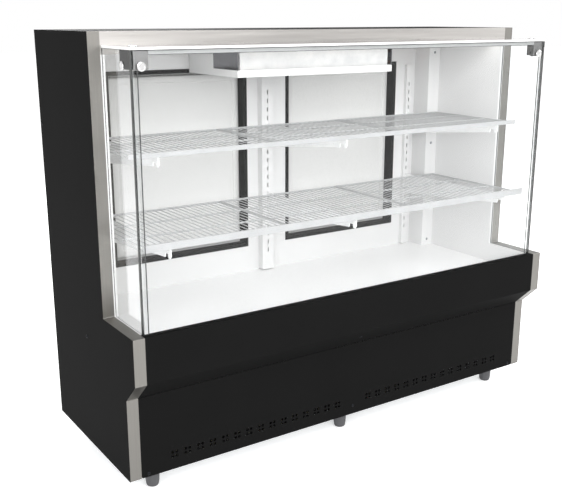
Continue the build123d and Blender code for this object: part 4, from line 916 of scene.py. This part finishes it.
door_pieces = (
    ("formed_liner", "door_liner", liner_loops, False, formed_plastic, "door_liner_plastic"),
    ("bellows_gasket", "door_gasket", gasket_loops, True, soft_rubber, "gasket_rubber"),
    ("moulded_pull", "door_handle", pull_loops, False, black_plastic, "black_plastic"))
for end in ("left", "right"):
    for name, node, loops, closed, material, slot in door_pieces:
        shape = bmesh.new()
        rounded_loft(shape, f"{node}_{end}", loops, closed)
        piece = made_object(f"{name}_{end}", shape, material)
        fitted(piece, f"door_{end}", f"{node}_{end}")


# Cooling set in the machine bay
# Welded compressor can in black enamel on rubber grommets, a finned condenser with its fan and
# shroud beside it.
can_enamel = baked_coat("black can enamel", "#0E0E10", 0.25, 0.5, 3.0, 0.04, 0.1)
finish_nodes(can_enamel, "compressor")
mill_aluminium = brushed_steel("mill-finish aluminium", "#C6C8CA", "Z", 2, 20, 0.35)
finish_nodes(mill_aluminium, "condenser")
facing_rear = Matrix(((1, 0, 0), (0, 0, 1), (0, -1, 0)))
fan_rotor("condenser_blades", "condenser_fan", "condenser_rotor", (485, -166, 179), facing_rear,
          98, 18)


# Grille of the machine bay
# The rear grille is punched, and each slot has a hood pressed up over it that sheds dust and
# splashes. A hood is a quarter round across and closes against the sheet at both ends.
group, (half_size, thickness, columns, rows, column_step, row_step) = node_group("hoods", {
    "Half Size": "Vector", "Thickness": "Float", "Columns": "Int", "Rows": "Int",
    "Column Step": "Vector", "Row Step": "Vector"})
sheet = add(group, "GeometryNodeMeshGrid", {"Size X": 2.0, "Size Y": math.pi / 2,
            "Vertices X": 13, "Vertices Y": 7})
here = add(group, "ShaderNodeSeparateXYZ", {
    "Vector": add(group, "GeometryNodeInputPosition")}).outputs
angle = add(group, "ShaderNodeMath", {0: here["Y"], 1: math.pi / 4}, operation="ADD")
cosine = add(group, "ShaderNodeMath", {0: angle}, operation="COSINE")
sine = add(group, "ShaderNodeMath", {0: angle}, operation="SINE")
share = add(group, "ShaderNodeMath", {0: here["X"]}, operation="ABSOLUTE")
steep = add(group, "ShaderNodeMath", {0: share, 1: 10.0}, operation="POWER")
left_over = add(group, "ShaderNodeMath", {0: 1.0, 1: steep}, operation="SUBTRACT", use_clamp=True)
fade = add(group, "ShaderNodeMath", {0: left_over}, operation="SQRT")
out = add(group, "ShaderNodeMath", {0: cosine, 1: fade}, operation="MULTIPLY")
bowed = add(group, "GeometryNodeSetPosition", {"Geometry": sheet, "Position": add(
            group, "ShaderNodeCombineXYZ", {"X": here["X"], "Y": out, "Z": sine})})
sized = add(group, "GeometryNodeTransform", {"Geometry": bowed, "Scale": half_size})
thick = add(group, "GeometryNodeExtrudeMesh", {"Mesh": sized, "Offset Scale": thickness,
            "Individual": False})
back = add(group, "GeometryNodeFlipFaces", {"Mesh": sized})
solid = add(group, "GeometryNodeJoinGeometry", {"Geometry": [thick, back]})
welded = add(group, "GeometryNodeMergeByDistance", {"Geometry": solid, "Distance": 0.01 * mm})
one_row = add(group, "GeometryNodeRealizeInstances", {
    "Geometry": row_of(group, welded, columns, column_step)})
close_group(group, [row_of(group, one_row, rows, row_step)], black_powder)
hood_columns, hood_rows = 8, 10
hood_pitch_x, hood_pitch_z = 125 * mm, 20 * mm
# first hood: at the grille's left end and lowest slot
first_hood = Vector((-437.5, 275.4, 127.5)) * mm
hoods = grown("grille_hoods", group, {
    "Half Size": (53 * mm, 5 * mm, 9 * mm), "Thickness": 0.8 * mm, "Columns": hood_columns,
    "Rows": hood_rows, "Column Step": (hood_pitch_x, 0.0, 0.0),
    "Row Step": (0.0, 0.0, hood_pitch_z)}, place=first_hood)
smooth_faces(hoods.data)
fitted(hoods, "cabinet")


# Control panel: thermostat and light switch
# A moulded bezel carries the thermostat's fluted knob, with its numbers round it, and a
# rocker switch.
finish_nodes(black_plastic, "control_panel")
knob_x, _, control_z = middle("thermostat_knob")
face_y = 277
knob_sides = 96
flutes = 12
# radius, y and depth of fluting of each turn of the knob, from its spindle to its dished top
knob_loops = ((3, 265.6, 0), (3, face_y + 0.6, 0), (15.9, face_y + 0.6, 0),
              (15.9, face_y + 2.4, 0), (15.2, face_y + 3.2, 0.15), (13.8, face_y + 3.8, 0.6),
              (13.3, face_y + 9, 0.6), (12.9, face_y + 13.2, 0.6), (12.2, face_y + 14.2, 0.4),
              (10.6, face_y + 14.6, 0), (9.2, face_y + 14.4, 0), (8.6, face_y + 14.0, 0))
shape = bmesh.new()
loops = []
for radius, y, flute in knob_loops:
    loop = []
    for angle in (2 * math.pi * step / knob_sides for step in range(knob_sides)):
        reach = radius + flute * math.cos(flutes * angle)
        loop.append(Vector((knob_x + reach * math.cos(angle), y,
                            control_z + reach * math.sin(angle))) * mm)
    loops.append(loop)
loft(shape, loops)
# white paint filled into the pointer and the marks
fill_paint = moulded_plastic("white fill paint", "#E8E8E6", 0.5, 0.4, 0.6, 0.01)
pointer_z = control_z + 8.4
loft(shape, [[Vector((knob_x + x, y, pointer_z + z)) * mm
              for x, z in rounded_outline(1.8, 8, 0.8, 3)]
             for y in (face_y + 13.9, face_y + 14.55, face_y + 14.7)], material_index=1)
knob = made_object("fluted_knob", shape, black_plastic, fill_paint)
fitted(knob, "knob", "thermostat_knob")


def printed(text, place):
    """A raised mark as a mesh at a place, read from the operator's side."""
    mark_height = 6
    mark_rise = 0.08
    curve = bpy.data.curves.new("mark", "FONT")
    curve.body = text
    curve.size = mark_height * mm
    curve.extrude = mark_rise * mm
    curve.resolution_u = 3
    curve.align_x = "CENTER"
    curve.align_y = "CENTER"
    letter = bpy.data.objects.new("mark", curve)
    bpy.context.scene.collection.objects.link(letter)
    mesh = evaluated_mesh(letter)
    bpy.data.objects.remove(letter)
    facing_operator = Matrix(((-1, 0, 0), (0, 0, 1), (0, 1, 0))).to_4x4()
    mesh.transform(Matrix.Translation(Vector(place) * mm) @ facing_operator)
    return mesh


dial_steps = 8
dial_sweep_deg = 270
dial_radius = 22.5
shape = bmesh.new()
for step in range(dial_steps):
    angle = math.radians(90 - dial_sweep_deg * step / (dial_steps - 1))
    shape.from_mesh(printed(str(step), (knob_x - dial_radius * math.cos(angle), face_y + 0.05,
                                        control_z + dial_radius * math.sin(angle))))
marks = made_object("dial_numbers", shape, fill_paint)
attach(marks, "cabinet")

# rocker: a glossy key with a dished face, marked for on and off
rocker_gloss = moulded_plastic("glossy rocker plastic", "#121213", 0.16, 0.5, 2.0, 0.01)
tilt = Matrix.Rotation(math.radians(8), 3, "X")
rocker_centre = Vector((middle("light_switch")[0], face_y, control_z))
rocker_side = ((-9, -4), (-9, 4), (1.6, 10.8), (3.2, 10.9), (3.9, 10.4), (3.4, 8), (2.6, 4),
               (2.1, 0), (2.6, -4), (3.4, -8), (3.9, -10.4), (3.2, -10.9), (1.6, -10.8))
shape = bmesh.new()
loft(shape, [[(rocker_centre + tilt @ Vector((x, y * squeeze, z * squeeze))) * mm
              for y, z in rocker_side]
             for x, squeeze in ((-7, 0.97), (-6.6, 1.0), (6.6, 1.0), (7, 0.97))])
for text, height in (("I", 6.2), ("O", -6.2)):
    mark = printed(text, (0, 3.0, height))
    mark.transform(Matrix.Translation(rocker_centre * mm) @ tilt.to_4x4())
    mark.materials.append(rocker_gloss)
    mark.materials.append(fill_paint)
    for polygon in mark.polygons:
        polygon.material_index = 1
    shape.from_mesh(mark)
rocker = made_object("rocker_key", shape, rocker_gloss, fill_paint)
fitted(rocker, "rocker", "light_switch")


# Power inlet
# A moulded appliance inlet snapped into the rear skin: a flange, a deep recess with two cut
# corners and three plated pins.
inlet_x, _, inlet_z = middle("power_inlet")
half_width, half_height, corner_cut = 12, 8.5, 5
recess_outline = ((-half_width, -half_height), (half_width, -half_height),
                  (half_width, half_height - corner_cut), (half_width - corner_cut, half_height),
                  (-half_width + corner_cut, half_height),
                  (-half_width, half_height - corner_cut))
shape = bmesh.new()
rounded_loft(shape, "power_inlet", ((29.4, 23.4, 1, 254), (29.4, 23.4, 1, 274), (48, 33, 4, 274),
                                    (48, 33, 4, 276.2), (46.6, 31.6, 4, 277)))
inlet_shell = made_object("inlet_shell", shape, black_plastic)
drill = bmesh.new()
loft(drill, [[Vector((inlet_x + x, y, inlet_z + z)) * mm for x, z in recess_outline]
             for y in (258, 280)])
shape = bmesh.new()
shape.from_mesh(cut_away(inlet_shell, made_object("inlet_cutter", drill)))
bpy.data.objects.remove(inlet_shell)
for pin_x, pin_z in ((-7, -2), (0, 3), (7, -2)):
    loft(shape, [[Vector((inlet_x + pin_x + x * squeeze, y, inlet_z + pin_z + z * squeeze)) * mm
                  for x, z in rounded_outline(2, 5, 0.6, 2)]
                 for y, squeeze in ((257.5, 1.0), (271, 1.0), (272, 0.7))], material_index=1)
inlet = made_object("moulded_inlet", shape, black_plastic, zinc_plate)
fitted(inlet, "cabinet", "power_inlet")


# Screws
# Zinc-plated steel screws with a low domed head and a cross recess, driven through each sheet
# into the tray, liner or frame behind it.
group, (seeds, head, flattened, shank_radius, shank_length, shank_place, recess_size,
        recess_place, finish) = node_group(
    "screw heads", {"Places": "Geometry", "Head Radius": "Float", "Flattened": "Vector",
                    "Shank Radius": "Float", "Shank Length": "Float", "Shank Place": "Vector",
                    "Recess Size": "Vector", "Recess Place": "Vector", "Finish": "Material"})
ball = add(group, "GeometryNodeMeshUVSphere", {"Segments": 20, "Rings": 10, "Radius": head})
dome = add(group, "GeometryNodeTransform", {"Geometry": ball, "Scale": flattened})
shank = add(group, "GeometryNodeMeshCylinder", {"Vertices": 12, "Radius": shank_radius,
            "Depth": shank_length})
shank_down = add(group, "GeometryNodeTransform", {"Geometry": shank, "Translation": shank_place})
bar = add(group, "GeometryNodeMeshCube", {"Size": recess_size})
bar_up = add(group, "GeometryNodeTransform", {"Geometry": bar, "Translation": recess_place})
bar_turned = add(group, "GeometryNodeTransform", {"Geometry": bar_up,
                 "Rotation": (0.0, 0.0, math.pi / 2)})
recessed = add(group, "GeometryNodeMeshBoolean", {"Mesh 1": dome, "Mesh 2": [bar_up, bar_turned]},
               operation="DIFFERENCE", solver="EXACT")
one_screw = add(group, "GeometryNodeJoinGeometry", {"Geometry": [recessed, shank_down]})
facing = add(group, "GeometryNodeInputNamedAttribute", {"Name": "facing"},
             data_type="FLOAT_VECTOR")
aligned = add(group, "FunctionNodeAlignRotationToVector", {"Vector": facing}, axis="Z")
spots = add(group, "GeometryNodeInstanceOnPoints", {"Points": seeds, "Instance": one_screw,
            "Rotation": aligned})
close_group(group, [spots], finish)
head_radius = 5 * mm
head_height = 2.4 * mm
screw_sizes = {
    "Head Radius": head_radius, "Flattened": (1.0, 1.0, head_height / head_radius),
    "Shank Radius": 0.44 * head_radius, "Shank Length": 1.2 * head_radius,
    "Shank Place": (0.0, 0.0, -0.6 * head_radius), "Recess Place": (0.0, 0.0, head_height),
    "Recess Size": (1.15 * head_radius, 0.24 * head_radius, 1.1 * head_height)}

# zinc-plated screw steel: small, bright and slightly blue
screw_zinc = brushed_steel("zinc-plated screw steel", "#9C9FA2", "X", 3, 9, 0.36)
# blackened screw steel, in the black sheets: nearly as dark as the paint round it
screw_black = brushed_steel("blackened screw steel", "#26272A", "X", 3, 9, 0.4)

# each place is where the head sits and the way it faces: black ones on the vent panel, the
# nose's slope, the side panels and the grille, zinc ones on the corner duct and the brackets
vent_y, duct_y, side_panel_x, grille_y, bracket_y = -251, 171, 750, 275.5, 278
slope_out = tuple(Vector((0, -59, -61)).normalized())
black_places = [((x, vent_y, z), (0, -1, 0)) for x, z in ((-695, 77), (0, 94.6), (695, 77))]
black_places.append(((0, -281.5, 331.5), slope_out))
zinc_places = [((675.5, duct_y, z), (0, -1, 0)) for z in (1141, 814, 446)]
for side in (-1, 1):
    black_places += [((side * side_panel_x, y, z), (side, 0, 0))
                     for y, z in ((261, 969), (5, 401))]
    black_places += [((side * 527, grille_y, z), (0, 1, 0)) for z in (106, 336)]
    zinc_places += [((side * 559.5 + x, bracket_y, z), (0, 1, 0))
                    for x in (-13, 13) for z in (487, 1133)]
for name, places, material in (("black_screws", black_places, screw_black),
                               ("zinc_screws", zinc_places, screw_zinc)):
    seed = bpy.data.meshes.new(name + "_places")
    seed.from_pydata([Vector(place) * mm for place, outward in places], [], [])
    directions = seed.attributes.new("facing", "FLOAT_VECTOR", "POINT")
    for spot, (place, outward) in zip(directions.data, places):
        spot.vector = outward
    heads = grown(name, group, {**screw_sizes, "Finish": material}, seed_mesh=seed)
    fitted(heads, "cabinet", "screws")
